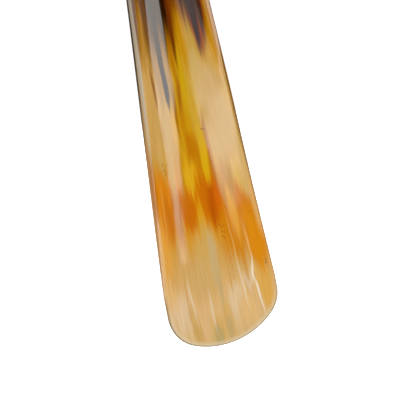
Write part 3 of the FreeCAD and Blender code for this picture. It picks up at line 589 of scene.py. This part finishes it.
def rounded(corners, steps=6):
    """A profile through (radius, height, rounding) corners, each corner rounded off by its own amount."""
    points = [Vector((radius, height)) for radius, height, _ in corners]
    profile = []
    for k, (_, _, rounding) in enumerate(corners):
        here = points[k]
        if rounding <= 0.0 or k in (0, len(corners) - 1):
            profile.append(here)
            continue
        start = here + (points[k - 1] - here).normalized() * rounding
        stop = here + (points[k + 1] - here).normalized() * rounding
        for step in range(steps + 1):
            t = step / steps
            profile.append(start * (1 - t) ** 2 + here * 2 * t * (1 - t) + stop * t**2)
    return profile


def with_loops(profile):
    """Adds points close to the ends of long stretches, so that smooth shading stays flat between them."""
    result = [profile[0]]
    for start, stop in zip(profile, profile[1:]):
        length = (stop - start).length
        if length > 4.0 * LOOP_GAP:
            result.append(start + (stop - start) * (LOOP_GAP / length))
            result.append(stop + (start - stop) * (LOOP_GAP / length))
        result.append(stop)
    return result


def around(radius, turns):
    """Points evenly round a circle, as (across, away)."""
    angles = [2.0 * math.pi * k / turns for k in range(turns)]
    return [(radius * math.cos(angle), radius * math.sin(angle)) for angle in angles]


def lathe(name, profile, turns=TURNS, closed=True, along="Z"):
    """Turns a profile of (radius, height) about an axis; a closed one is a ring, with a bore."""
    vertices, faces = [], []
    for point in profile:
        for across, away in around(point.x, turns):
            vertices.append((across, away, point.y) if along == "Z" else (across, point.y, -away))
    count = len(profile)
    rings = [range(j * turns, (j + 1) * turns) for j in range(count)]
    for j in range(count if closed else count - 1):
        bridge(faces, rings[j], rings[(j + 1) % count])
    if not closed:
        faces += [list(rings[0])[::-1], list(rings[-1])]
    piece = build_mesh(name, vertices, faces)
    piece.data.set_sharp_from_angle(angle=SHARP_ANGLE)
    return piece


def ring_from_box(name, node, bore, roundings, along="Z"):
    """A turned ring as large as its CAD node, with its two outer edges rounded off."""
    low, high = (Vector(c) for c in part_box(node))
    bottom, top = (low.z, high.z) if along == "Z" else (low.y, high.y)
    radius = (high.x - low.x) / 2.0
    corners = [
        (bore, bottom + CHAMFER, 0.0),
        (bore + CHAMFER, bottom, 0.0),
        (radius, bottom, roundings[0]),
        (radius, top, roundings[1]),
        (bore + CHAMFER, top, 0.0),
        (bore, top - CHAMFER, 0.0),
    ]
    return lathe(name, with_loops(rounded(corners)), along=along)


# ---- ferrule and handle

FERRULE_BORE = 7.0 * MM
FERRULE_RADIUS = 8.9 * MM
FERRULE_CHAMFER = 0.2 * MM
BEAD_HEIGHT, BEAD_SLOPE = 2.6 * MM, 0.4 * MM
BEAD_ROUNDING, SLOPE_ROUNDING = 1.0 * MM, 0.3 * MM
LINE_OFFSET, LINE_HALF, LINE_DEPTH, LINE_ROUNDING = 5.4 * MM, 0.3 * MM, 0.18 * MM, 0.08 * MM

TENON_RADIUS, TENON_EDGE = 6.97 * MM, 0.3 * MM
END_FACE_RADIUS = 2.0 * MM
# The hollow curve's ends, as (radius, height above the handle's foot), and its own radius.
COVE_START, COVE_END = (9.3 * MM, 24 * MM), (10.6 * MM, 95 * MM)
COVE_CURVE_RADIUS = 800 * MM
BUTT_RADIUS = 11.3 * MM
HANDLE_STEPS = 120
HANDLE_LIP = 0.8 * MM
# Turned rings in the handle: heights above its foot, and below its butt.
RINGS_ABOVE_FOOT = (31 * MM, 35 * MM)
RINGS_BELOW_BUTT = (13 * MM, 9 * MM)
RING_HALF, RING_DEPTH = 1.0 * MM, 0.5 * MM
RING_LIP, RING_BOTTOM = 0.16 * MM, 0.25 * MM


def make_ferrule():
    """Brass sleeve with a bead and a shallow turned line at each end."""
    low, high = (Vector(c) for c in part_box("ferrule"))
    bead, line = (high.x - low.x) / 2.0, LINE_OFFSET + BEAD_HEIGHT
    end = [
        (FERRULE_BORE, FERRULE_CHAMFER, 0.0),
        (FERRULE_BORE + FERRULE_CHAMFER, 0.0, 0.0),
        (bead, 0.0, BEAD_ROUNDING),
        (bead, BEAD_HEIGHT, BEAD_ROUNDING),
        (FERRULE_RADIUS, BEAD_HEIGHT + BEAD_SLOPE, SLOPE_ROUNDING),
        (FERRULE_RADIUS, line - LINE_HALF, LINE_ROUNDING),
        (FERRULE_RADIUS - LINE_DEPTH, line, LINE_ROUNDING),
        (FERRULE_RADIUS, line + LINE_HALF, LINE_ROUNDING),
    ]
    corners = [(radius, low.z + inwards, rounding) for radius, inwards, rounding in end]
    corners += [(radius, high.z - inwards, rounding) for radius, inwards, rounding in reversed(end)]
    return lathe("ferrule_turned", with_loops(rounded(corners)))


def handle_curve(foot, top):
    """Points of the handle's long curve: a hollow above the ferrule that turns into the swell of the grip."""
    shoulder, cove_end = (Vector((radius, foot + up)) for radius, up in (COVE_START, COVE_END))
    butt = Vector((BUTT_RADIUS, top))
    chord = cove_end - shoulder
    across = Vector((chord.y, -chord.x)).normalized()
    rise = math.sqrt(COVE_CURVE_RADIUS**2 - chord.length_squared / 4.0)
    hollow = (shoulder + cove_end) / 2.0 + across * rise
    inward = (cove_end - hollow).normalized()
    rest = butt - cove_end
    swell_radius = rest.dot(rest) / (2.0 * rest.dot(inward))
    swell = cove_end + inward * swell_radius
    points = []
    for k in range(HANDLE_STEPS + 1):
        height = shoulder.y + (butt.y - shoulder.y) * k / HANDLE_STEPS
        if height < cove_end.y:
            radius = hollow.x - math.sqrt(COVE_CURVE_RADIUS**2 - (height - hollow.y) ** 2)
        else:
            radius = swell.x + math.sqrt(swell_radius**2 - (height - swell.y) ** 2)
        points.append(Vector((radius, height)))
    return points


def handle_rings():
    """Heights of the turned rings."""
    low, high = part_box("handle")
    return [low[2] + up for up in RINGS_ABOVE_FOOT] + [high[2] - down for down in RINGS_BELOW_BUTT]


def make_handle():
    """Turned handle with two pairs of rings, its edges eased and the end in the ferrule reduced."""
    low, high = (Vector(c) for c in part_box("handle"))
    foot, top = low.z, high.z
    curve = handle_curve(foot, top)
    rings = handle_rings()
    corners = [
        (END_FACE_RADIUS, foot, 0.0),
        (TENON_RADIUS, foot, TENON_EDGE),
        (TENON_RADIUS, curve[0].y, 0.0),
        (curve[0].x, curve[0].y, HANDLE_LIP),
    ]
    for point in curve:
        if point.y < curve[0].y + 1.5 * HANDLE_LIP or point.y > top - 1.5 * HANDLE_LIP:
            continue
        if any(abs(point.y - ring) < 1.8 * RING_HALF for ring in rings):
            continue
        for ring in rings:
            before = corners[-1][1]
            if before < ring < point.y:
                radius = (corners[-1][0] + point.x) / 2.0
                corners += [
                    (radius, ring - RING_HALF, RING_LIP),
                    (radius - RING_DEPTH, ring, RING_BOTTOM),
                    (radius, ring + RING_HALF, RING_LIP),
                ]
        corners.append((point.x, point.y, 0.0))
    corners += [(curve[-1].x, top, HANDLE_LIP), (END_FACE_RADIUS, top, 0.0)]
    return lathe("handle_turned", rounded(corners), closed=False)


# ---- knob and eyelet

KNOB_RADIUS = 12 * MM
KNOB_TURNS = 144
KNOB_EASE = 0.8 * MM
DOME_ROWS = 41
CHEEK_FACE, CHEEK_FILLET = 8 * MM, 0.5 * MM
# Heights from the hole's middle: the cheeks' foot, and the plain side below it.
CHEEK_FOOT, SIDE_HEIGHT = -9.5 * MM, -12.5 * MM
ROW_STEP = 0.6 * MM
CRISP = 0.05 * MM
JOIN_DISTANCE = 0.01 * MM
QUARTER_TURN = [(math.sin(a), math.cos(a)) for a in (math.radians(15.0 * k) for k in range(7))]

KNOB_HOLE = 4.03 * MM
EYELET_BORE, EYELET_RADIUS = 3.25 * MM, 4.0 * MM
MOUTH_EDGE, FLANGE_EDGE, FLANGE_BACK = 0.5 * MM, 0.6 * MM, 0.15 * MM
END_OUTSIDE, END_INSIDE = 0.25 * MM, 0.35 * MM
EYELET_RING_EDGES = (0.1 * MM, 0.55 * MM)
KNOB_STUD_BORE = 2.53 * MM
WASHER_EDGES = (0.45 * MM, 0.45 * MM)
COLLAR_EDGES = (1.6 * MM, 1.6 * MM)


def eased(value, limit, rounding):
    """Holds a distance below a limit, bending into it over the rounding."""
    bend = limit - rounding
    size = abs(value)
    if size > bend:
        size = bend + rounding * math.tanh((size - bend) / rounding)
    return math.copysign(size, value)


def knob_rows(foot, top):
    """Rows up the knob, as (radius, height, furthest distance from the middle along Y, its rounding)."""
    dome = top - KNOB_RADIUS
    free, core = 1.5 * KNOB_RADIUS, KNOB_RADIUS - KNOB_EASE

    # The eased foot, the plain side, and the eased edge of the shelf below the cheeks.
    rows = []
    for out, up in QUARTER_TURN:
        rows.append((core + KNOB_EASE * out, foot + KNOB_EASE - KNOB_EASE * up, free, CRISP))
    for height in (SIDE_HEIGHT, CHEEK_FOOT - 2.0 * KNOB_EASE, CHEEK_FOOT - 1.3 * KNOB_EASE):
        rows.append((KNOB_RADIUS, height, free, CRISP))
    for out, up in reversed(QUARTER_TURN):
        rows.append((KNOB_RADIUS, CHEEK_FOOT - KNOB_EASE + KNOB_EASE * up, core + KNOB_EASE * out, CRISP))

    # The shelf, the fillet at its inner end, the cheeks and the dome.
    shelf_end = CHEEK_FACE + CHEEK_FILLET
    for share in (0.2, 0.4, 0.6, 0.8, 0.95):
        reach = core + (shelf_end - core) * share
        rows.append((KNOB_RADIUS, CHEEK_FOOT, reach, CRISP + (KNOB_EASE - CRISP) * share))
    for out, up in QUARTER_TURN:
        height = CHEEK_FOOT + CHEEK_FILLET - CHEEK_FILLET * up
        rows.append((KNOB_RADIUS, height, shelf_end - CHEEK_FILLET * out, KNOB_EASE))
    height = CHEEK_FOOT + 1.0 * MM
    while height < dome:
        rows.append((KNOB_RADIUS, height, CHEEK_FACE, KNOB_EASE))
        height += ROW_STEP
    for k in range(DOME_ROWS):
        angle = math.radians(90.0 * k / DOME_ROWS)
        radius, height = KNOB_RADIUS * math.cos(angle), dome + KNOB_RADIUS * math.sin(angle)
        rows.append((radius, height, CHEEK_FACE, KNOB_EASE))
    return rows


def drill(piece, radius):
    """Cuts a straight hole along the Y axis through a piece."""
    reach = 20 * MM
    profile = [Vector((radius, -reach)), Vector((radius, reach))]
    cutter = lathe("cutter", profile, turns=96, closed=False, along="Y")
    cut = piece.modifiers.new("hole", "BOOLEAN")
    cut.operation = "DIFFERENCE"
    cut.solver = "EXACT"
    cut.object = cutter
    bpy.context.view_layer.update()
    drilled = bpy.data.meshes.new_from_object(piece.evaluated_get(bpy.context.evaluated_depsgraph_get()))
    piece.modifiers.clear()
    piece.data = drilled
    bpy.data.objects.remove(cutter)
    piece.data.set_sharp_from_angle(angle=SHARP_ANGLE)


def make_knob():
    """Domed knob with two flat cheeks, drilled through for the eyelet."""
    low, high = (Vector(c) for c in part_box("end_knob"))
    rows = knob_rows(low.z, high.z)
    vertices, faces = [], []
    for radius, height, reach, rounding in rows:
        for across, away in around(radius, KNOB_TURNS):
            vertices.append((across, eased(away, reach, rounding), height))
    rings = [range(j * KNOB_TURNS, (j + 1) * KNOB_TURNS) for j in range(len(rows))]
    for lower, upper in zip(rings, rings[1:]):
        bridge(faces, lower, upper)
    crown = len(vertices)
    vertices.append((0.0, 0.0, high.z))
    for k in range(KNOB_TURNS):
        faces.append([rings[-1][k], rings[-1][(k + 1) % KNOB_TURNS], crown])
    faces.append(list(rings[0])[::-1])
    knob = build_mesh("end_knob_polished", vertices, faces)

    # Rows that differ only at the cheeks share their side points: those are joined into one.
    mesh = bmesh.new()
    mesh.from_mesh(knob.data)
    bmesh.ops.remove_doubles(mesh, verts=mesh.verts, dist=JOIN_DISTANCE)
    mesh.to_mesh(knob.data)
    mesh.free()
    drill(knob, KNOB_HOLE)
    return knob


def make_eyelet():
    """The hanging hole's brass lining, with a rolled flange in front and its end set over behind."""
    low, high = (Vector(c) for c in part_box("eyelet_barrel"))
    flange = (high.x - low.x) / 2.0
    corners = [
        (EYELET_BORE, high.y - 0.4 * MM, 0.0),
        (EYELET_BORE, low.y, MOUTH_EDGE),
        (flange, low.y, FLANGE_EDGE),
        (flange, -CHEEK_FACE, FLANGE_BACK),
        (EYELET_RADIUS, -CHEEK_FACE, 0.0),
        (EYELET_RADIUS, high.y, END_OUTSIDE),
        (EYELET_BORE, high.y, END_INSIDE),
        (EYELET_BORE, high.y - 0.5 * MM, 0.0),
    ]
    return lathe("eyelet_lining", with_loops(rounded(corners)), along="Y")


# ---- their materials

WOOD_IOR = 1.48
# How far the handle's axis lies from the tree's heart, in mm along X and Y.
HEART = (34.0, -22.0)


def start_material(name):
    """The shader of a new material, and the object's own X, Y and Z in millimetres."""
    mat = new_material(name)
    return mat, *[mat.times(part, 1.0 / MM) for part in mat.parts(mat.place())]


def dark_horn_material():
    """Polished dark horn with lighter streaks along the knob."""
    mat, x, y, z = start_material("dark_polished_horn")
    warp = mat.wobble(mat.vector(mat.times(x, 0.05), y, z), 3.0, scale=0.06)
    bent = mat.math("ADD", x, warp)
    band = mat.noise(mat.vector(bent, y, mat.times(z, 0.07)), 0.24, 5.0, 0.6)
    colour = mat.ramp(band, [
        (0.3, "120b08"), (0.44, "2e1a0e"), (0.52, "5a3214"), (0.6, "96601c"), (0.68, "c09440"),
        (0.76, "d8b878"),
    ])
    hair = mat.noise(mat.stretched((bent, y, z), 3.0, 3.0, 0.15), 1.0, 4.0, 0.65)
    colour = mat.mix(mat.span(hair, 0.35, 0.65, 0.4, 0.0), colour, "5a3a1c", "MULTIPLY")
    scuffs = mat.noise(mat.vector(x, y, z), 0.5, 6.0, 0.7)
    roughness = mat.span(scuffs, 0.35, 0.7, 0.1, 0.24)
    normal = mat.bump(hair, 0.02, 0.3)
    return mat.surface(colour, roughness, {"IOR": HORN_IOR, "Normal": normal})


def wood_material():
    """Oiled dark hardwood: growth rings cut by the turning, long pores and a rubbed sheen."""
    mat, x, y, z = start_material("oiled_hardwood")
    drift = mat.stretched((x, y, z), 0.04, 0.04, 0.011)
    from_heart = mat.math("ADD", mat.math("ADD", x, HEART[0]), mat.wobble(drift, 9.0, detail=3.0))
    off_heart = mat.math("ADD", mat.math("ADD", y, HEART[1]), mat.wobble(drift, 7.0, 1.3, 3.0))
    ring_radius = mat.measure("LENGTH", mat.vector(from_heart, off_heart))
    ring = mat.math("FRACT", mat.times(ring_radius, 0.42))
    tone = mat.ramp(ring, [
        (0.0, "5e3318"), (0.55, "6e3f20"), (0.82, "4a2612"), (0.95, "2c150a"), (1.0, "5e3318"),
    ])

    fibre = mat.noise(mat.stretched((x, y, z), 1.6, 1.6, 0.02), 1.0, 6.0, 0.7)
    tone = mat.mix(mat.span(fibre, 0.3, 0.7, 0.55, 0.0), tone, "6a4022", "MULTIPLY")
    tone = mat.mix(mat.span(fibre, 0.5, 0.8, 0.0, 0.35), tone, "8a5630", "SCREEN")
    pitted = mat.noise(mat.stretched((x, y, z), 3.4, 3.4, 0.16), 1.0, 2.0, 0.5)
    pores = mat.soft_span(pitted, 0.62, 0.68)
    tone = mat.mix(mat.times(pores, 0.75), tone, "1c0d06")

    # Hands darken the grip, and the wood is darker in the turned rings.
    grip = mat.noise(mat.vector(x, y, mat.times(z, 0.25)), 0.05, 3.0)
    tone = mat.mix(mat.span(grip, 0.4, 0.65, 0.0, 0.3), tone, "7a4a28", "MULTIPLY")
    for height in handle_rings():
        away = mat.math("ABSOLUTE", mat.math("SUBTRACT", z, height / MM))
        tone = mat.mix(mat.span(away, 0.25, 1.0, 0.85, 0.0), tone, "1a0c06")

    rubbed = mat.noise(mat.vector(x, y, mat.times(z, 0.4)), 0.09, 5.0, 0.6)
    roughness = mat.span(rubbed, 0.35, 0.65, 0.3, 0.46)
    turning = mat.noise(mat.vector(0.0, 0.0, mat.times(z, 2.2)), 1.0, 3.0, 0.6)
    normal = mat.bump(turning, 0.03, 0.35)
    normal = mat.bump(fibre, 0.05, 0.4, under=normal)
    normal = mat.bump(mat.math("SUBTRACT", 1.0, pores), 0.08, 0.6, under=normal)
    return mat.surface(tone, roughness, {
        "IOR": WOOD_IOR,
        "Normal": normal,
        "Coat Weight": 0.25,
        "Coat Roughness": 0.2,
    })


def brass_material(along):
    """Turned and polished brass, with fine tool lines, light wear and a little brown tarnish."""
    mat, x, y, z = start_material("turned_brass_" + along.lower())
    if along == "Z":
        lines_at = z
    else:
        reach = mat.measure("LENGTH", mat.vector(x, z))
        lines_at = mat.math("ADD", reach, mat.times(y, 0.5))
    lines = mat.noise(mat.vector(0.0, mat.times(lines_at, 9.0)), 1.0, 4.0, 0.7)
    cloud = mat.noise(mat.vector(x, y, z), 0.22, 6.0, 0.62)
    specks = mat.noise(mat.vector(x, y, z), 1.9, 5.0, 0.7)
    tone = mat.ramp(cloud, [(0.3, "b88a48"), (0.5, "d8ae62"), (0.7, "e4c27c")])
    tarnish = mat.times(mat.span(cloud, 0.42, 0.3), mat.span(specks, 0.4, 0.6))
    tone = mat.mix(mat.times(tarnish, 0.8), tone, "6a4420")
    tone = mat.mix(mat.span(lines, 0.4, 0.7, 0.0, 0.18), tone, "f4dca4")
    lined = mat.span(lines, 0.3, 0.7, -0.03, 0.05)
    worn = mat.math("ADD", mat.span(cloud, 0.3, 0.7, 0.34, 0.2), lined)
    roughness = mat.math("ADD", worn, mat.times(tarnish, 0.2))
    normal = mat.bump(lines, 0.02, 0.4)
    normal = mat.bump(specks, 0.02, 0.25, under=normal)
    return mat.surface(tone, roughness, {"Metallic": 1.0, "Normal": normal})


def fibre_material():
    """Black vulcanised fibre: thin layers along the axis, matt, with a dusty grey mottling."""
    mat, x, y, z = start_material("black_fibre")
    layers = mat.noise(mat.stretched((x, y, z), 0.2, 0.2, 6.0), 1.0, 3.0, 0.6)
    mottle = mat.noise(mat.vector(x, y, z), 0.9, 6.0, 0.7)
    tone = mat.ramp(mottle, [(0.3, "161412"), (0.55, "221f1c"), (0.75, "38332e")])
    tone = mat.mix(mat.span(layers, 0.45, 0.65, 0.0, 0.35), tone, "4a423a")
    roughness = mat.span(mottle, 0.3, 0.7, 0.55, 0.75)
    normal = mat.bump(layers, 0.04, 0.5)
    normal = mat.bump(mottle, 0.03, 0.4, under=normal)
    return mat.surface(tone, roughness, {"Normal": normal})


def steel_material():
    """Plain steel rod with thread-like fine lines across it."""
    mat, x, y, z = start_material("stud_steel")
    lines = mat.noise(mat.vector(0.0, 0.0, mat.times(z, 5.0)), 1.0, 2.0, 0.5)
    cloud = mat.noise(mat.vector(x, y, z), 0.5, 5.0, 0.6)
    tone = mat.ramp(cloud, [(0.3, "8c8e90"), (0.7, "b4b6b8")])
    roughness = mat.span(cloud, 0.3, 0.7, 0.3, 0.45)
    return mat.surface(tone, roughness, {"Metallic": 1.0, "Normal": mat.bump(lines, 0.05, 0.5)})


# ---- camera, lights and floor

CAMERA_AZIMUTH, CAMERA_ELEVATION, CAMERA_ROLL = (math.radians(angle) for angle in (-12.0, 8.0, -10.0))
CAMERA_AIM = Vector((1.4 * MM, -8.0 * MM, TOE_Z + 59.8 * MM))
CAMERA_DISTANCE, CAMERA_LENS = 1.2, 241.0

PANEL_DISTANCE = 0.45
PANEL_SLANT = 0.13
PANEL_COLOUR = "fff8f0"
# Softboxes that the polished surfaces mirror: azimuth, corners (sideways, above the toe) in mm, strength, and
# how that fades upwards, as (slanted height above the toe in mm, share of the strength).
PANELS = {
    "softbox_right": (52.0, [
        (-150, 15), (330, 130), (330, 760), (-250, 760), (-190, 190), (-185, 155), (-200, 140),
        (-220, 128), (-220, 122), (-190, 114), (-180, 108), (-175, 98), (-150, 60), (-135, 55),
        (-135, 47), (-145, 40), (-160, 35), (-170, 25),
    ], 4.5, [(180, 1.0), (280, 0.5)]),
    "softbox_left": (-45.0, [
        (320, 35), (315, 50), (310, 60), (275, 65), (270, 80), (250, 90), (315, 102), (310, 108),
        (270, 112), (200, 150), (65, 420), (65, 760), (-300, 760), (-900, 420), (-900, -40),
        (10, 5), (85, 20), (220, 30),
    ], 5.2, [(-10, 0.3), (8, 0.45), (30, 1.0), (54, 1.0), (78, 0.2), (220, 0.2), (330, 0.5)]),
}

# Area lights: place, what they face, size in metres, watts.
LIGHTS = {
    "key": ((-0.7, -1.1, 0.1), (0, 0, -0.5), (0.9, 0.9), 4.6),
    "fill": ((0.9, -0.8, -0.2), (0, 0, -0.5), (0.9, 0.9), 2.4),
    "back": ((0.2, 1.2, 0.0), (0, 0, -0.4), (1.0, 1.0), 8.0),
}

WHITE = (1, 1, 1, 1)
FILL_STRENGTH = 0.42
FLOOR_HALF_SIDE = 12.0
FLOOR_BELOW_TOE = 0.05


def facing(place, direction):
    """The matrix of a camera or light at a place that looks in a direction."""
    return Matrix.Translation(place) @ direction.to_track_quat("-Z", "Y").to_matrix().to_4x4()


def make_camera():
    data = bpy.data.cameras.new("camera")
    data.lens, data.sensor_width = CAMERA_LENS, 36.0
    data.clip_start, data.clip_end = 0.05, 60.0
    camera = add_object("camera", data)
    level = math.cos(CAMERA_ELEVATION)
    outward = Vector((
        math.sin(CAMERA_AZIMUTH) * level,
        -math.cos(CAMERA_AZIMUTH) * level,
        math.sin(CAMERA_ELEVATION),
    ))
    roll = Matrix.Rotation(CAMERA_ROLL, 4, "Z")
    camera.matrix_world = facing(CAMERA_AIM + outward * CAMERA_DISTANCE, -outward) @ roll
    bpy.context.scene.camera = camera


def glow_material(name, strength, sideways, levels):
    """Plain glow that fades with slanted height through the levels."""
    mat = new_material(name)
    slant = tuple(Vector((0, 0, 1)) - sideways * PANEL_SLANT)
    up = mat.math("SUBTRACT", mat.measure("DOT_PRODUCT", mat.place(), slant), TOE_Z)
    share = levels[0][1]
    for (low, before), (high, after) in zip(levels, levels[1:]):
        step = mat.soft_span(up, low * MM, high * MM, 0.0, after - before)
        share = mat.math("ADD", share, step)
    inputs = {"Color": linear(PANEL_COLOUR), "Strength": mat.times(share, strength)}
    return mat.finish(mat.node("Emission", inputs).outputs[0])


def make_panel(name, azimuth, corners, strength, levels):
    """A flat softbox round the blade that only mirrors show."""
    turn = math.radians(azimuth)
    outward = Vector((math.sin(turn), -math.cos(turn), 0.0))
    sideways = Vector((math.cos(turn), math.sin(turn), 0.0))
    centre = outward * PANEL_DISTANCE
    points = [centre + sideways * x * MM + Vector((0, 0, TOE_Z + z * MM)) for x, z in corners]
    panel = build_mesh(name, points, [list(range(len(points)))], smooth_shading=False)
    panel.data.materials.append(glow_material(name, strength, sideways, levels))
    for ray in ("camera", "diffuse", "shadow", "transmission"):
        setattr(panel, "visible_" + ray, False)


def make_area_light(name, place, aim, size, power):
    data = bpy.data.lights.new(name, "AREA")
    data.shape = "RECTANGLE"
    data.size, data.size_y = size
    data.energy = power
    light = add_object(name, data)
    light.matrix_world = facing(Vector(place), Vector(aim) - Vector(place))
    light.visible_camera = False
    light.visible_glossy = False


def make_world():
    """White to the camera, an even pale fill for matt surfaces, and dark for mirrors in front."""
    world = bpy.data.worlds.new("studio")
    bpy.context.scene.world = world
    mat = Shader(world, "OutputWorld")
    path = mat.node("LightPath").outputs
    direction = mat.parts(mat.node("TexCoord").outputs["Generated"])
    rear = mat.soft_span(direction[1], 0.1, 0.8, 0.01, 0.45)
    ceiling = mat.soft_span(direction[2], 0.3, 0.7, 0.0, 0.9)
    mirror_strength = mat.math("MAXIMUM", ceiling, rear)
    matt, mirrored, seen = [
        mat.node("Background", {"Color": WHITE, "Strength": strength}).outputs[0]
        for strength in (FILL_STRENGTH, mirror_strength, 1.0)
    ]
    light = mat.node("MixShader", {0: path["Is Glossy Ray"], 1: matt, 2: mirrored}).outputs[0]
    light = mat.node("MixShader", {0: path["Is Camera Ray"], 1: light, 2: seen}).outputs[0]
    mat.finish(light)


def make_floor():
    half, z = FLOOR_HALF_SIDE, TOE_Z - FLOOR_BELOW_TOE
    points = [(-half, -half, z), (half, -half, z), (half, half, z), (-half, half, z)]
    floor = build_mesh("floor", points, [[0, 1, 2, 3]], smooth_shading=False)
    mat = new_material("pale_floor")
    paper = mat.noise(mat.place(), 40.0, 3.0)
    tone = mat.mix(paper, "f4f3f1", "ffffff")
    skin = mat.surface(tone, 0.9, {"Emission Color": WHITE, "Emission Strength": 0.7})
    floor.data.materials.append(skin)
    floor.visible_glossy = False


def finish_piece(piece, node, material):
    """Gives a piece its material and puts it in the place of its CAD node."""
    piece.data.materials.append(material)
    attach(piece, "root")
    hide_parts(node)


# ---- the scene

bpy.context.scene.view_settings.view_transform = "Standard"
make_camera()
make_world()
make_floor()
for name, settings in PANELS.items():
    make_panel(name, *settings)
for name, settings in LIGHTS.items():
    make_area_light(name, *settings)

finish_piece(make_blade(), "horn_blade", horn_material())

dark_horn, wood, steel, fibre = dark_horn_material(), wood_material(), steel_material(), fibre_material()
brass, brass_across = brass_material("Z"), brass_material("Y")
finish_piece(make_ferrule(), "ferrule", brass)
finish_piece(make_handle(), "handle", wood)
for name, node, bore, edges, slot, material in (
    ("neck_washer_fibre", "neck_washer", FERRULE_BORE, WASHER_EDGES, "fibre", fibre),
    ("butt_washer_fibre", "butt_washer", KNOB_STUD_BORE, WASHER_EDGES, "fibre", fibre),
    ("butt_collar_turned", "butt_collar", KNOB_STUD_BORE, COLLAR_EDGES, "brass", brass),
):
    finish_piece(ring_from_box(name, node, bore, edges), node, material)
finish_piece(make_knob(), "end_knob", dark_horn)
finish_piece(make_eyelet(), "eyelet_barrel", brass_across)
ring = ring_from_box("eyelet_ring", "eyelet_washer", KNOB_HOLE, EYELET_RING_EDGES, "Y")
finish_piece(ring, "eyelet_washer", brass_across)
for node, material in (("ferrule_pins", brass), ("tie_stud", steel), ("knob_stud", steel)):
    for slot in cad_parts[node].material_slots:
        slot.material = material
